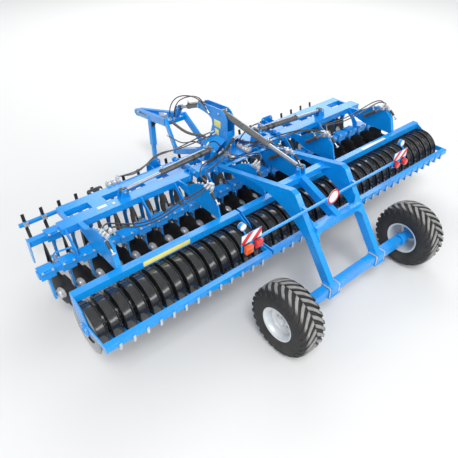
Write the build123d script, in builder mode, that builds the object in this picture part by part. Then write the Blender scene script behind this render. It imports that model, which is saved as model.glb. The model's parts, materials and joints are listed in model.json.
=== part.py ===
"""Folding disc harrow, trailed, with three ring rollers and a rear transport chassis."""

import os
from math import cos, pi, radians, sin, sqrt

from build123d import *

os.makedirs("parts", exist_ok=True)

# ---- driving dimensions, millimetres: +X right, +Y the way it travels, +Z up from the ground ----
axle_y = -2235  # the wheels' axle, behind the middle of the machine's length
running_gap = 0.1  # around a pin in its bore
running = 8  # between parts that pass each other

# disc rows
disc_pitch = 250
disc_radius = 275
disc_thick = 6
disc_notches = 8
notch_depth = 42
disc_turn = 16  # degrees that a disc stands off the way of travel
hub_radius = 55
hub_length = 70
hub_z = 480
beam_z = 830
beam_side = 80
block_side = 120
block_width = 170
block_offset = 110  # from a disc to the clamp block of its arm
arm_thick = 25
arm_shift = 9  # from the middle of a clamp block towards its disc
outer_end = 3085
# beam y, hub y, and the side of its arms: -1 for the left of their discs, 1 for the right
rear_row = (axle_y + 1960, axle_y + 1930, -1)
front_row = (axle_y + 2560, axle_y + 2530, 1)

# frame rails
rail_top = 1150
rail_high = 85
rail_bottom = rail_top - rail_high
rear_rail = (axle_y + 2128, axle_y + 2298)  # low and high y
front_rail = (axle_y + 2438, axle_y + 2575)
wing_end = 2650
wing_front_end = 2520
wing_windows = ((1075, 1240), (1430, 1985), (2180, 2490))  # low and high x
centre_windows = ((110, 330), (520, 700))
hanger_thick = 16

# fold hinges: a pin along y, and the lugs on it as (low, high) in y from the axle
hinge_x = 800
hinge_z = 1175
hinge_pin = 20
lug_radius = 38
rail_setback = 45
centre_lugs = ((2128, 2150), (2276, 2298), (2438, 2460), (2553, 2575))
wing_lugs = ((2160, 2182), (2244, 2266), (2490, 2523))

# ring rollers and their frames
roller_y = axle_y + 1075
roller_z = 670
roller_radius = 295
roller_core = 170
roller_sides = 16
ring_pitch = 157
ring_wide = 92
ring_band = 262  # radius of the band between a ring's two flanges
flange_thick = 8
shaft_radius = 30
roller_beam_y = axle_y + 1240
roller_beam_top = 1040
roller_beam_side = 90
side_plate = 12
# arms from a roller's beam to the rear rail: low and high x
wing_arms = ((1035, 1055), (2400, 2460))
centre_arms = ((290, 310),)
depth_barrel = 32
scraper_y = axle_y + 655
scraper_top = 793
scraper_side = 70
scraper_wide = 24
section_gap = 15
wing_out = 3000

# levelling tines ahead of the discs
tine_bar_y = axle_y + 3220
tine_bar_z = 650
tine_pipe = 22

# transport chassis and wheels
pivot_y = axle_y + 2050
pivot_z = 1120
pivot_pin = 28
arm_x = 440
arm_side = 80
pivot_cheek = arm_x - arm_side / 2 - 10  # inner face of the inner cheek
pivot_plate = 15
bend_y = axle_y + 690
bend_z = 1400
axle_z = 437
axle_side = 110
axle_end = 915
# y from the axle and z, low and high
cross_beams = ((330, 410, 1000, 1090), (960, 1050, 1275, 1350))
leg_way = (0.586, 0.81)  # the ways of the arms in y and z, below and ahead of their bend
top_way = (0.979, -0.206)
corner_plate = 110  # legs of the plates in the corners between a cross beam and the arms
wheel_x = 1160
hub_start = 925
tyre_radius = 437
tyre_wide = 390
tyre_sides = 32
lug_count = 18  # on each half of the tread
lug_high = 24
lug_reach = tyre_wide / 2 - 8
lug_sweep = 79  # half a lug's length around the tyre
lug_top = sqrt(tyre_radius ** 2 - lug_sweep ** 2)
lug_deep = 60
rim_sides = 24
rim_radius = 205

# light bar behind the chassis arms: boards at its ends, a round sign in the middle
light_y = axle_y + 478
light_z = 1295
light_thick = 24
light_end = 1290
board_x = (1165, 1445)
board_z = (1225, 1440)
board_thick = 6
lamp_z = (1225, 1318)

# drawbar and parking jack
foot_x = 250
foot_y = axle_y + 3330
foot_z = 800
foot_pin = 22
knee_x = 175
knee_y = axle_y + 3680
knee_z = 1120
hitch_y = axle_y + 4850
hitch_z = 860
hitch_bore = 25
jack_x = -95
jack_y = axle_y + 4260
jack_side = 84
jack_leg_side = 60
jack_low = 470
jack_top = 915

# cylinders: the places of their two pins
tower_gap = 55
base_gap = 50  # half the gap between the cheeks at a fold cylinder's base
eye_gap = 32  # half the gap between the cheeks at the eye of a rod
clevis_thick = 16
tower_plate = 15
pin_radius = 20
fold_pin = 16
fold_y = axle_y + 2240
fold_base = (425, 1330)  # x, z
fold_eye = (1786, 1250)
lift_base = (axle_y + 2490, 1650)  # y, z
lift_eye = (axle_y + 1005, 1440)
level_base = (axle_y + 2952, 1610)
level_eye = (axle_y + 3520, 1375)


def save(piece, name):
    piece.part.label = name
    export_step(piece.part, f"parts/{name}.step")


def box(x, y, z):
    """A box between its low and high x, y and z."""
    size = [high - low for low, high in (x, y, z)]
    middle = tuple(sum(span) / 2 for span in (x, y, z))
    with Locations(middle):
        Box(*size)


def mirrored(side, low, high):
    """A span of x on one side of the machine, as (low, high)."""
    return (low, high) if side > 0 else (-high, -low)


def plate(points, low, high):
    """A plate across x, its outline given as (y, z)."""
    with BuildSketch(Plane.YZ.offset(min(low, high))) as outline:
        Polygon(*points, align=None)
    extrude(outline.sketch, amount=abs(high - low))


def curved_plate(points, middle, low, high):
    """A plate across x whose outline, given as (y, z), is closed by an arc through the middle."""
    with BuildSketch(Plane.YZ.offset(min(low, high))) as outline:
        with BuildLine():
            Polyline(*points)
            ThreePointArc(points[-1], middle, points[0])
        make_face()
    extrude(outline.sketch, amount=abs(high - low))


def cross_plate(points, low, high):
    """A plate across y, its outline given as (x, z)."""
    with BuildSketch(Plane.XZ.offset(-high)) as outline:
        Polygon(*points, align=None)
    extrude(outline.sketch, amount=high - low)


def bar(start, end, radius, mode=Mode.ADD, sides=None):
    """A round bar, or a bore, from one point to another, or one with flat sides."""
    axis = Vector(*end) - Vector(*start)
    with BuildSketch(Plane(origin=start, z_dir=axis)) as section:
        if sides:
            RegularPolygon(radius, sides)
        else:
            Circle(radius)
    extrude(section.sketch, amount=axis.length, mode=mode)


def member(start, end, wide, high):
    """A box-section member from one point to another, its width level."""
    axis = Vector(*end) - Vector(*start)
    level = axis.cross(Vector(0, 0, 1))
    with BuildSketch(Plane(origin=start, x_dir=level, z_dir=axis)) as section:
        Rectangle(wide, high)
    extrude(section.sketch, amount=axis.length)


# ---- what the left wing, the centre and the right wing have alike: side is -1, 0 or 1 ----
def disc_places(side, row):
    """The x of each disc of a section: the front row's stand between the rear row's."""
    shift = 0 if row is rear_row else disc_pitch / 2
    inner = 3.5 if row is rear_row else 3
    if side:
        places = [(inner + n) * disc_pitch for n in range(9)]
        return places if side > 0 else [-x for x in reversed(places)]
    return [(n + 0.5) * disc_pitch - shift for n in range(-3 if row is rear_row else -2, 3)]


def block_places(side, row):
    return [x + row[2] * block_offset for x in disc_places(side, row)]


def beam_span(side, row):
    places = block_places(side, row)
    low = places[0] - block_width / 2 - 15
    high = places[-1] + block_width / 2 + 15
    if row is front_row and side < 0:
        low = -outer_end + 150
    if row is rear_row and side > 0:
        high = outer_end
    return low, high


def frame_span(side):
    """The x of a section's roller frame, as (low, high)."""
    if side:
        return mirrored(side, hinge_x + section_gap, wing_out)
    return -hinge_x + section_gap, hinge_x - section_gap


def ring_places(side):
    low, high = frame_span(side)
    count = 14 if side else 10
    start = (low + high - (count - 1) * ring_pitch) / 2
    return [start + n * ring_pitch for n in range(count)]


def disc_plane(x, row):
    """The disc's plane: its axis is level and points to its hub, on the arm's side."""
    beam_y, hub_y, arm_side_sign = row
    turn = radians(disc_turn)
    return Plane(origin=(x, hub_y, hub_z), x_dir=(0, 0, 1), z_dir=(arm_side_sign * cos(turn), -sin(turn), 0))


def notched_outline():
    """The corners of a disc: a tip and a notch in turn."""
    step = pi / disc_notches
    radii = (disc_radius, disc_radius - notch_depth)
    return [(radii[n % 2] * cos(n * step), radii[n % 2] * sin(n * step)) for n in range(2 * disc_notches)]


def make_discs(name, side):
    with BuildPart() as discs:
        for row in (rear_row, front_row):
            for x in disc_places(side, row):
                with BuildSketch(disc_plane(x, row)):
                    Polygon(*notched_outline(), align=None)
        extrude(amount=disc_thick)
    save(discs, name)


def make_hubs(name, side):
    with BuildPart() as hubs:
        for row in (rear_row, front_row):
            for x in disc_places(side, row):
                with BuildSketch(disc_plane(x, row).offset(disc_thick)):
                    RegularPolygon(hub_radius, 8)
        extrude(amount=hub_length)
    save(hubs, name)


def make_carriers(name, side):
    """Disc beams with a clamp block and an arm for each disc."""
    foot = beam_z - block_side / 2
    with BuildPart() as carriers:
        for row in (rear_row, front_row):
            beam_y, hub_y, arm_sign = row
            low, high = beam_span(side, row)
            for x in block_places(side, row):
                with BuildSketch(Plane.YZ.offset(x - arm_sign * arm_shift - arm_thick / 2)):
                    Polygon((beam_y - 40, foot), (beam_y + 30, foot), (beam_y + 45, foot - 110),
                            (hub_y + 35, hub_z - 30), (hub_y - 30, hub_z - 35),
                            (beam_y - 25, foot - 110), align=None)
            extrude(amount=arm_thick)
            with Locations(*[(x, beam_y, beam_z) for x in block_places(side, row)]):
                Box(block_width, block_side, block_side)
            box((low, high), (beam_y - beam_side / 2, beam_y + beam_side / 2),
                (beam_z - beam_side / 2, beam_z + beam_side / 2))
            if row is front_row and side < 0:
                curved_plate([(beam_y + 40, 570), (beam_y + 60, beam_z + 40), (beam_y - 60, beam_z + 40),
                              (beam_y - 40, 570)], (beam_y, 530), low - 10, low)
    save(carriers, name)


def make_roller(name, side):
    low, high = frame_span(side)
    edge = ring_wide / 2
    with BuildPart() as roller:
        for x in ring_places(side):
            with BuildSketch(Plane.YZ.offset(x - edge)):
                with Locations((roller_y, roller_z)):
                    RegularPolygon(ring_band, roller_sides)
        extrude(amount=ring_wide)
        for x in ring_places(side):
            for start in (x - edge, x + edge - flange_thick):
                with BuildSketch(Plane.YZ.offset(start)):
                    with Locations((roller_y, roller_z)):
                        RegularPolygon(roller_radius, roller_sides)
        extrude(amount=flange_thick)
        with BuildSketch(Plane.YZ.offset(low + 25)):
            with Locations((roller_y, roller_z)):
                RegularPolygon(roller_core, 8)
        extrude(amount=high - low - 50)
        bar((low, roller_y, roller_z), (high, roller_y, roller_z), shaft_radius)
    save(roller, name)


def arm_spans(side):
    """The x of each arm of a section's roller frame, as (low, high)."""
    if side:
        return [mirrored(side, *span) for span in wing_arms]
    return [mirrored(sign, *span) for span in centre_arms for sign in (-1, 1)]


def add_roller_arm(low, high):
    """A humped arm plate from the roller's beam to the rear rail, with a round corner at the beam."""
    front = roller_beam_y + roller_beam_side / 2
    bottom = roller_beam_top - roller_beam_side
    curved_plate([(front + 50, bottom + 50), (axle_y + 1800, bottom + 50), (rear_rail[0], rail_bottom + 10),
                  (rear_rail[0], rail_top), (axle_y + 1940, 1165), (axle_y + 1740, 1290),
                  (axle_y + 1600, 1340), (axle_y + 1440, 1320), (axle_y + 1345, 1240),
                  (front, roller_beam_top), (front, bottom)],
                 (front + 15, bottom + 35), low, high)


def make_depth_cylinders(name, side):
    """The short cylinders that set the rollers' depth, one beside each arm."""
    with BuildPart() as cylinders:
        for low, high in arm_spans(side):
            x = (high if low < 0 else low) - (-depth_barrel if low < 0 else depth_barrel)
            bar((x, axle_y + 1800, 1130), (x, axle_y + 1590, 1290), depth_barrel, sides=10)
            bar((x, axle_y + 1600, 1282), (x, axle_y + 1500, 1358), 14, sides=8)
            box((x - 25, x + 25), (axle_y + 1470, axle_y + 1530), (1335, 1390))
    save(cylinders, name)


def make_roller_frame(name, side):
    """Front beam, end plates with the roller's bearings, and arms to the frame rail."""
    low, high = frame_span(side)
    front = roller_beam_y + roller_beam_side / 2
    back = roller_beam_y - roller_beam_side / 2
    beam_bottom = roller_beam_top - roller_beam_side
    with BuildPart() as frame:
        for x in (low, high - side_plate):
            with BuildSketch(Plane.YZ.offset(x)):
                Polygon((front, beam_bottom), (front, beam_bottom - 60), (roller_y + 60, roller_z - 55),
                        (roller_y - 60, roller_z - 55), (roller_y - 120, roller_z + 40),
                        (scraper_y + 35, scraper_top - scraper_side), (scraper_y + 35, scraper_top),
                        (roller_y - 90, scraper_top), (roller_y - 20, beam_bottom - 10),
                        (back, roller_beam_top - 20), (back, beam_bottom), align=None)
                with Locations((roller_y, roller_z)):
                    Circle(shaft_radius + running_gap, mode=Mode.SUBTRACT)
        extrude(amount=side_plate)
        box((low, high), (back, front), (beam_bottom, roller_beam_top))
        for x in arm_spans(side):
            add_roller_arm(*x)
    save(frame, name)


def make_scraper_bar(name, side):
    """The rear beam, with a scraper blade in each gap between two rings."""
    low, high = frame_span(side)
    bottom = scraper_top - scraper_side
    back = scraper_y - scraper_side / 2
    reach = roller_y - roller_core - running
    with BuildPart() as scrapers:
        for x in ring_places(side)[:-1]:
            with BuildSketch(Plane.YZ.offset(x + ring_pitch / 2 - scraper_wide / 2)):
                Polygon((back - 8, scraper_top - 12), (back, scraper_top - 12), (back, bottom),
                        (scraper_y + 20, bottom), (reach, roller_z - 30), (reach, roller_z - 55),
                        (scraper_y - 10, bottom - 45), (back - 8, bottom - 45), align=None)
        extrude(amount=scraper_wide)
        box((low, high), (scraper_y - scraper_side / 2, scraper_y + scraper_side / 2), (bottom, scraper_top))
    save(scrapers, name)


def make_tine_bar(name, side):
    """The levelling bar ahead of the discs: a pipe with a leaf tine for each disc."""
    places = disc_places(side, front_row)
    beam_front = front_row[0] + beam_side / 2
    with BuildPart() as tines:
        for x in places:
            with BuildSketch(Plane.YZ.offset(x - 22)):
                Polygon((tine_bar_y + 45, tine_bar_z + 90), (tine_bar_y + 33, tine_bar_z + 90),
                        (tine_bar_y + 15, tine_bar_z), (tine_bar_y - 75, tine_bar_z - 260),
                        (tine_bar_y - 62, tine_bar_z - 262), (tine_bar_y + 28, tine_bar_z), align=None)
        extrude(amount=44)
        for n in (1, -3):
            x = block_places(side, front_row)[n] + disc_pitch / 2
            plate([(beam_front, beam_z + 25), (beam_front, beam_z - 30), (tine_bar_y, tine_bar_z - 15),
                   (tine_bar_y, tine_bar_z + 15)], x - 10, x + 10)
        bar((places[0] - 90, tine_bar_y, tine_bar_z), (places[-1] + 90, tine_bar_y, tine_bar_z),
            tine_pipe, sides=8)
    save(tines, name)


# per section: row, rail, the gaps between blocks that have a hanger
hanger_gaps = {
    -1: ((rear_row, rear_rail, (1, 5, 7)), (front_row, front_rail, (1, 4, 6))),
    0: ((rear_row, rear_rail, (0, 4)), (front_row, front_rail, (0, 3))),
    1: ((rear_row, rear_rail, (0, 3, 6)), (front_row, front_rail, (0, 3, 5))),
}


def add_hangers(side):
    """Hangers from the rails down to the disc beams, in gaps between the clamp blocks."""
    beam_top = beam_z + beam_side / 2
    for row, rail, gaps in hanger_gaps[side]:
        beam_y = row[0]
        waist = (min(beam_y + 75, rail[1] - 25), (beam_top + rail_bottom) / 2)
        for n in gaps:
            x = block_places(side, row)[n] + disc_pitch / 2
            back = min(beam_y - 35, rail[0])
            curved_plate([(beam_y + 35, beam_top), (beam_y - 35, beam_top), (back, beam_top + 90),
                          (rail[0], rail_top - 10), (rail[1], rail_top - 10), (rail[1], rail_bottom)],
                         waist, x - hanger_thick / 2, x + hanger_thick / 2)


def add_fold_lugs(side, rail_x, lugs, bore):
    """Lugs from a rail's end to the hinge pin, fixed to it where bore is 0."""
    for low, high in lugs:
        with BuildSketch(Plane.XZ.offset(-axle_y - high)) as lug:
            Polygon((side * rail_x, rail_top), (side * rail_x, rail_bottom),
                    (side * hinge_x, hinge_z - lug_radius), (side * hinge_x, hinge_z + lug_radius),
                    align=None)
            with Locations((side * hinge_x, hinge_z)):
                RegularPolygon(lug_radius, 12)
                if bore:
                    Circle(bore, mode=Mode.SUBTRACT)
        extrude(lug.sketch, amount=high - low)


def add_clevis(x, z, inner_gap, foot):
    """Two cheeks along x, on top of the rails, for a pin along y."""
    for low in (fold_y - inner_gap - clevis_thick, fold_y + inner_gap):
        cross_plate([(x - foot, rail_top), (x + foot, rail_top), (x + 30, z + 25), (x - 30, z + 25)],
                    low, low + clevis_thick)


def add_rails(outline, windows, side):
    """Both rails and what joins them: a plan outline for x > 0 with windows between the rails."""
    with BuildSketch(Plane.XY.offset(rail_bottom)) as rails:
        Polygon(*[(side * x, y) for x, y in outline], align=None)
        for low, high in windows:
            with Locations((side * (low + high) / 2, (rear_rail[1] + front_rail[0]) / 2)):
                Rectangle(high - low, front_rail[0] - rear_rail[1], mode=Mode.SUBTRACT)
    extrude(rails.sketch, amount=rail_high)


def make_wing_frame(name, side):
    start = hinge_x + rail_setback
    outline = [(start, rear_rail[0]), (wing_end, rear_rail[0]), (wing_end, rear_rail[1]),
               (wing_front_end, rear_rail[1]), (wing_front_end, front_rail[1]), (start, front_rail[1])]
    with BuildPart() as frame:
        add_rails(outline, wing_windows, side)
        add_hangers(side)
        add_fold_lugs(side, start + 20, wing_lugs, hinge_pin + running_gap)
        add_clevis(side * fold_eye[0], fold_eye[1], eye_gap, 70)
    save(frame, name)


for section, side in (("left", -1), ("centre", 0), ("right", 1)):
    make_discs(f"{section}_discs", side)
    make_hubs(f"{section}_disc_hubs", side)
    make_carriers(f"{section}_disc_carriers", side)
    make_roller(f"{section}_roller", side)
    make_roller_frame(f"{section}_roller_frame", side)
    make_depth_cylinders(f"{section}_depth_cylinders", side)
    make_scraper_bar(f"{section}_scraper_bar", side)
    make_tine_bar(f"{section}_tine_bar", side)
make_wing_frame("left_wing_frame", -1)
make_wing_frame("right_wing_frame", 1)

# ---- centre frame: rails, fold hinges, lugs for the chassis, beams for the drawbar ----
with BuildPart() as centre_frame:
    end = hinge_x - rail_setback
    half_outline = [(0, rear_rail[0]), (end, rear_rail[0]), (end, front_rail[1]), (0, front_rail[1])]
    for side in (-1, 1):
        add_rails(half_outline, centre_windows, side)
    add_hangers(0)
    for side in (-1, 1):
        add_fold_lugs(side, end - 20, centre_lugs, 0)
        for low, high in (centre_lugs[:2], centre_lugs[2:]):
            bar((side * hinge_x, axle_y + low[1], hinge_z), (side * hinge_x, axle_y + high[0], hinge_z),
                hinge_pin)
        add_clevis(side * fold_base[0], fold_base[1], base_gap, 75)
        bar((side * fold_base[0], fold_y - base_gap, fold_base[1]),
            (side * fold_base[0], fold_y + base_gap, fold_base[1]), fold_pin)
        for x in (pivot_cheek - pivot_plate, arm_x * 2 - pivot_cheek):
            plate([(rear_rail[0], rail_top), (rear_rail[0], rail_bottom), (pivot_y - 40, pivot_z - 55),
                   (pivot_y - 55, pivot_z), (pivot_y - 40, pivot_z + 45), (pivot_y, pivot_z + 60)],
                  side * x, side * (x + pivot_plate))
        bar((side * pivot_cheek, pivot_y, pivot_z), (side * (arm_x * 2 - pivot_cheek), pivot_y, pivot_z),
            pivot_pin)
        plate([(front_rail[1], rail_top), (front_rail[1], rail_bottom), (foot_y - 80, foot_z - 20),
               (foot_y - 62, foot_z + 70)], side * (foot_x - 45), side * (foot_x + 45))
        for x in (foot_x - 45, foot_x + 30):
            plate([(foot_y - 62, foot_z + 70), (foot_y - 80, foot_z - 20), (foot_y + 10, foot_z - 45),
                   (foot_y + 45, foot_z), (foot_y + 10, foot_z + 45)], side * x, side * (x + 15))
        bar((side * (foot_x - 30), foot_y, foot_z), (side * (foot_x + 30), foot_y, foot_z), foot_pin)
save(centre_frame, "centre_frame")

# ---- tower: two gooseneck plates, with a pin for each of its cylinders ----
with BuildPart() as tower:
    for x in (-tower_gap - tower_plate, tower_gap):
        with BuildSketch(Plane.YZ.offset(x)):
            with Locations((axle_y, 0)):
                Polygon((2310, rail_top), (2325, 1600), (2380, 1680), (2450, 1718), (2890, 1684),
                        (2975, 1650), (2995, 1610), (2980, 1575), (2850, 1568), (2730, 1555),
                        (2655, 1515), (2640, 1440), (2740, rail_top), align=None)
    extrude(amount=tower_plate)
    for low, high, top in ((2330, 2345, 1420), (2610, 2625, 1380)):
        box((-tower_gap, tower_gap), (axle_y + low, axle_y + high), (rail_top, top))
    for y, z in (lift_base, level_base):
        bar((-tower_gap, y, z), (tower_gap, y, z), pin_radius)
save(tower, "tower")


# ---- cylinders: each has a barrel with its base eye, and a rod with its end eye ----
def across_eye(centre, across, half):
    """The two ends of an eye whose pin runs along the unit vector across."""
    return tuple(Vector(*centre) - Vector(*across) * half), tuple(Vector(*centre) + Vector(*across) * half)


def make_cylinder(name, base, eye, across, barrel_radius, rod_radius, pin, part, gap):
    """The barrel takes up the given part of the way from pin to pin. The rod's pin is its own."""
    start, end = Vector(*base), Vector(*eye)
    along = (end - start).normalized()
    clear = pin + 18
    mouth = start + along * (end - start).length * part
    inside = start + along * ((end - start).length * part * 0.7)
    with BuildPart() as barrel:
        bar(tuple(start + along * clear), tuple(mouth), barrel_radius, sides=12)
        bar(*across_eye(base, across, gap - 1), pin + 22, sides=10)
        bar(*across_eye(base, across, gap - 1), pin + running_gap, Mode.SUBTRACT)
        bar(tuple(start + along * (clear + 30)), tuple(mouth), rod_radius + 0.3, Mode.SUBTRACT, sides=10)
    save(barrel, f"{name}_barrel")
    with BuildPart() as rod:
        bar(tuple(inside), tuple(end - along * clear), rod_radius, sides=10)
        bar(*across_eye(eye, across, eye_gap - 8), pin + 22, sides=10)
        bar(*across_eye(eye, across, eye_gap - 1), pin, sides=10)
    save(rod, f"{name}_rod")


for name, side in (("left_fold", -1), ("right_fold", 1)):
    base = (side * fold_base[0], fold_y, fold_base[1])
    eye = (side * fold_eye[0], fold_y, fold_eye[1])
    make_cylinder(name, base, eye, (0, 1, 0), 42, 22, fold_pin, 0.6, base_gap)
make_cylinder("lift", (0, *lift_base), (0, *lift_eye), (1, 0, 0), 46, 28, pin_radius, 0.62, tower_gap)
make_cylinder("level", (0, *level_base), (0, *level_eye), (1, 0, 0), 40, 22, pin_radius, 0.62, tower_gap)

# ---- transport chassis: two arms with two cross beams and a strut between them, and the axle ----
def add_corner_plates(low_y, high_y, low_z, high_z, along, inner):
    """Plates with a hollow round edge, in the corners between a cross beam and the arms along (y, z)."""
    middle = (0, axle_y + (low_y + high_y) / 2, (low_z + high_z) / 2)
    reach = corner_plate / 3
    for way in (-1, 1):
        edge = way * (high_y - low_y) / 2
        with BuildSketch(Plane(origin=middle, x_dir=(1, 0, 0), z_dir=(0, -along[1], along[0]))) as corners:
            for side in (-1, 1):
                with BuildLine():
                    Polyline((side * (inner - corner_plate), edge), (side * inner, edge),
                             (side * inner, edge + way * corner_plate))
                    ThreePointArc((side * inner, edge + way * corner_plate),
                                  (side * (inner - reach), edge + way * reach),
                                  (side * (inner - corner_plate), edge))
                make_face()
        extrude(corners.sketch, amount=20)


with BuildPart() as chassis:
    inner, outer = arm_x - arm_side / 2, arm_x + arm_side / 2
    for side in (-1, 1):
        curved_plate([(axle_y + 430, 940), (axle_y + 50, axle_z - 30), (axle_y - 55, axle_z + 30),
                      (bend_y - 50, bend_z + 28), (bend_y + 20, bend_z + 58), (pivot_y + 30, pivot_z + 50),
                      (pivot_y + 50, pivot_z), (pivot_y + 10, pivot_z - 55)],
                     (axle_y + 1010, 1235), side * inner, side * outer)
        box(mirrored(side, arm_x - 65, arm_x + 65), (axle_y - 75, axle_y + 75), (axle_z - 75, axle_z + 75))
        plate([(lift_eye[0] - 45, 1345), (lift_eye[0] + 45, 1345), (lift_eye[0] + 28, lift_eye[1] + 28),
               (lift_eye[0] - 28, lift_eye[1] + 28)], side * eye_gap, side * (eye_gap + 14))
        bar((side * 300, pivot_y, pivot_z), (side * 600, pivot_y, pivot_z), pivot_pin + running_gap,
            Mode.SUBTRACT)
        box(mirrored(side, arm_x - 20, arm_x + 20), (light_y + light_thick / 2, light_y + 84),
            (light_z - 10, light_z + 10))
        bar((side * axle_end, axle_y, axle_z), (side * (wheel_x - 60), axle_y, axle_z), shaft_radius)
    for (low_y, high_y, low_z, high_z), along in zip(cross_beams, (leg_way, top_way)):
        box((-inner, inner), (axle_y + low_y, axle_y + high_y), (low_z, high_z))
        add_corner_plates(low_y, high_y, low_z, high_z, along, inner)
    box((-inner, inner), (axle_y + 1945, axle_y + 1995), (1175, 1190))
    lower, upper = cross_beams
    plate([(axle_y + upper[1], upper[3]), (axle_y + upper[1], upper[2]),
           (axle_y + lower[1], lower[2]), (axle_y + lower[0], lower[2]),
           (axle_y + lower[0], lower[3]), (axle_y + upper[0], upper[3])], -40, 40)
    half = axle_side / 2
    box((-axle_end, axle_end), (axle_y - half, axle_y + half), (axle_z - half, axle_z + half))
save(chassis, "chassis")

# ---- light bar: a strip behind the arms, with the boards and the sign on it ----
with BuildPart() as light_bar:
    box((-light_end, light_end), (light_y - light_thick / 2, light_y + light_thick / 2),
        (light_z - light_thick / 2, light_z + light_thick / 2))
save(light_bar, "light_bar")

board_front = light_y - light_thick / 2
board_back = board_front - board_thick
with BuildPart() as light_boards:
    for side in (-1, 1):
        box(mirrored(side, *board_x), (board_back, board_front), board_z)
save(light_boards, "light_boards")

with BuildPart() as rear_lamps:
    for side in (-1, 1):
        for start, depth in ((1180, 50), (1330, 65)):
            box(mirrored(side, start, start + 100), (board_back - depth, board_back), lamp_z)
save(rear_lamps, "rear_lamps")

with BuildPart() as round_sign:
    bar((0, board_back, light_z), (0, board_front, light_z), 100, sides=20)
save(round_sign, "round_sign")

# ---- wheels ----
def lug_plane(middle, half, n):
    """The plane under a lug, touching the tread: local x runs out to the shoulder of that half."""
    turn = 2 * pi * (n + (half + 1) / 4) / lug_count
    outward = Vector(0, cos(turn), sin(turn))
    centre = Vector(middle, axle_y, axle_z) + outward * (lug_top - lug_deep)
    return Plane(origin=centre, x_dir=(half, 0, 0), z_dir=outward)


for name, side in (("left", -1), ("right", 1)):
    half = tyre_wide / 2
    with BuildPart() as tyre:
        with BuildSketch(Plane.YZ.offset(side * wheel_x - half)):
            with Locations((axle_y, axle_z)):
                RegularPolygon(tyre_radius - lug_high, tyre_sides)
                RegularPolygon(rim_radius, rim_sides, mode=Mode.SUBTRACT)
        extrude(amount=tyre_wide)
        faces = tyre.part.faces().filter_by(Axis.X)
        outer_edges = [edge for face in faces for edge in face.outer_wire().edges()]
        chamfer(outer_edges, length=48, length2=60)
        for half_side in (-1, 1):
            for n in range(lug_count):
                with BuildSketch(lug_plane(side * wheel_x, half_side, n)):
                    Polygon((-8, half_side * (lug_sweep - 36)), (-8, half_side * lug_sweep),
                            (lug_reach - 36, half_side * -29), (lug_reach, half_side * -33),
                            (lug_reach, half_side * -lug_sweep), (lug_reach - 50, half_side * -73),
                            align=None)
        extrude(amount=lug_deep)
    save(tyre, f"{name}_tyre")

    with BuildPart() as rim:
        low, high = mirrored(side, wheel_x - half + 30, wheel_x + half - 30)
        with BuildSketch(Plane.YZ.offset(low)):
            with Locations((axle_y, axle_z)):
                RegularPolygon(rim_radius, rim_sides)
                RegularPolygon(rim_radius - 14, rim_sides, mode=Mode.SUBTRACT)
        extrude(amount=high - low)
        web_low, web_high = mirrored(side, wheel_x + 55, wheel_x + 67)
        with BuildSketch(Plane.YZ.offset(web_low)):
            with Locations((axle_y, axle_z)):
                RegularPolygon(rim_radius - 8, rim_sides)
                RegularPolygon(45, 12, mode=Mode.SUBTRACT)
        extrude(amount=web_high - web_low)
    save(rim, f"{name}_rim")

    with BuildPart() as hub:
        for start, end, radius in ((hub_start, 985, 82), (985, wheel_x + 55, 60),
                                   (wheel_x + 55, wheel_x + 110, 45)):
            bar((side * start, axle_y, axle_z), (side * end, axle_y, axle_z), radius, sides=12)
        bar((side * hub_start, axle_y, axle_z), (side * (wheel_x - 50), axle_y, axle_z),
            shaft_radius + running_gap, Mode.SUBTRACT)
    save(hub, f"{name}_wheel_hub")

# ---- drawbar: two tubes from the hitch to the knees, two legs down to the feet ----
with BuildPart() as drawbar:
    for side in (-1, 1):
        member((side * 20, hitch_y - 60, hitch_z + 10), (side * knee_x, knee_y, knee_z), 70, 110)
        member((side * knee_x, knee_y + 20, knee_z + 40), (side * foot_x, foot_y + 20, foot_z + 20), 40, 100)
        box(mirrored(side, foot_x - 20, foot_x + 20), (foot_y - 38, foot_y + 60), (foot_z - 38, foot_z + 60))
        plate([(knee_y - 40, knee_z + 20), (knee_y + 60, knee_z + 20), (level_eye[0] + 30, level_eye[1] + 25),
               (level_eye[0] - 30, level_eye[1] + 25)], side * eye_gap, side * (eye_gap + 14))
    box((-knee_x, knee_x), (knee_y - 40, knee_y + 30), (knee_z - 40, knee_z + 30))
    slope = Vector(0, knee_y - hitch_y + 60, knee_z - hitch_z - 10)
    upward = slope.cross(Vector(1, 0, 0))
    with BuildSketch(Plane(origin=(0, hitch_y - 60, hitch_z + 10), x_dir=(-1, 0, 0), z_dir=upward)):
        Polygon((-20, 0), (20, 0), (90, 520), (-90, 520), align=None)
    extrude(amount=10)
    box((-60, 60), (hitch_y - 110, hitch_y - 30), (hitch_z - 45, hitch_z + 55))
    bar((0, hitch_y, hitch_z - 30), (0, hitch_y, hitch_z + 30), 55)
    bar((0, hitch_y, hitch_z - 60), (0, hitch_y, hitch_z + 60), hitch_bore, Mode.SUBTRACT)
    half = jack_side / 2
    box((jack_x - half, jack_x + half), (jack_y - half, jack_y + half), (jack_top, jack_top + 70))
    for side in (-1, 1):
        bar((side * 200, foot_y, foot_z), (side * 300, foot_y, foot_z), foot_pin + running_gap, Mode.SUBTRACT)
save(drawbar, "drawbar")

# ---- parking jack: a square tube under the drawbar, and the leg that slides in it ----
with BuildPart() as jack_tube:
    with BuildSketch(Plane.XY.offset(jack_low)):
        with Locations((jack_x, jack_y)):
            Rectangle(jack_side, jack_side)
            Rectangle(jack_leg_side + 8, jack_leg_side + 8, mode=Mode.SUBTRACT)
    extrude(amount=jack_top - jack_low)
save(jack_tube, "jack_tube")

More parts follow.
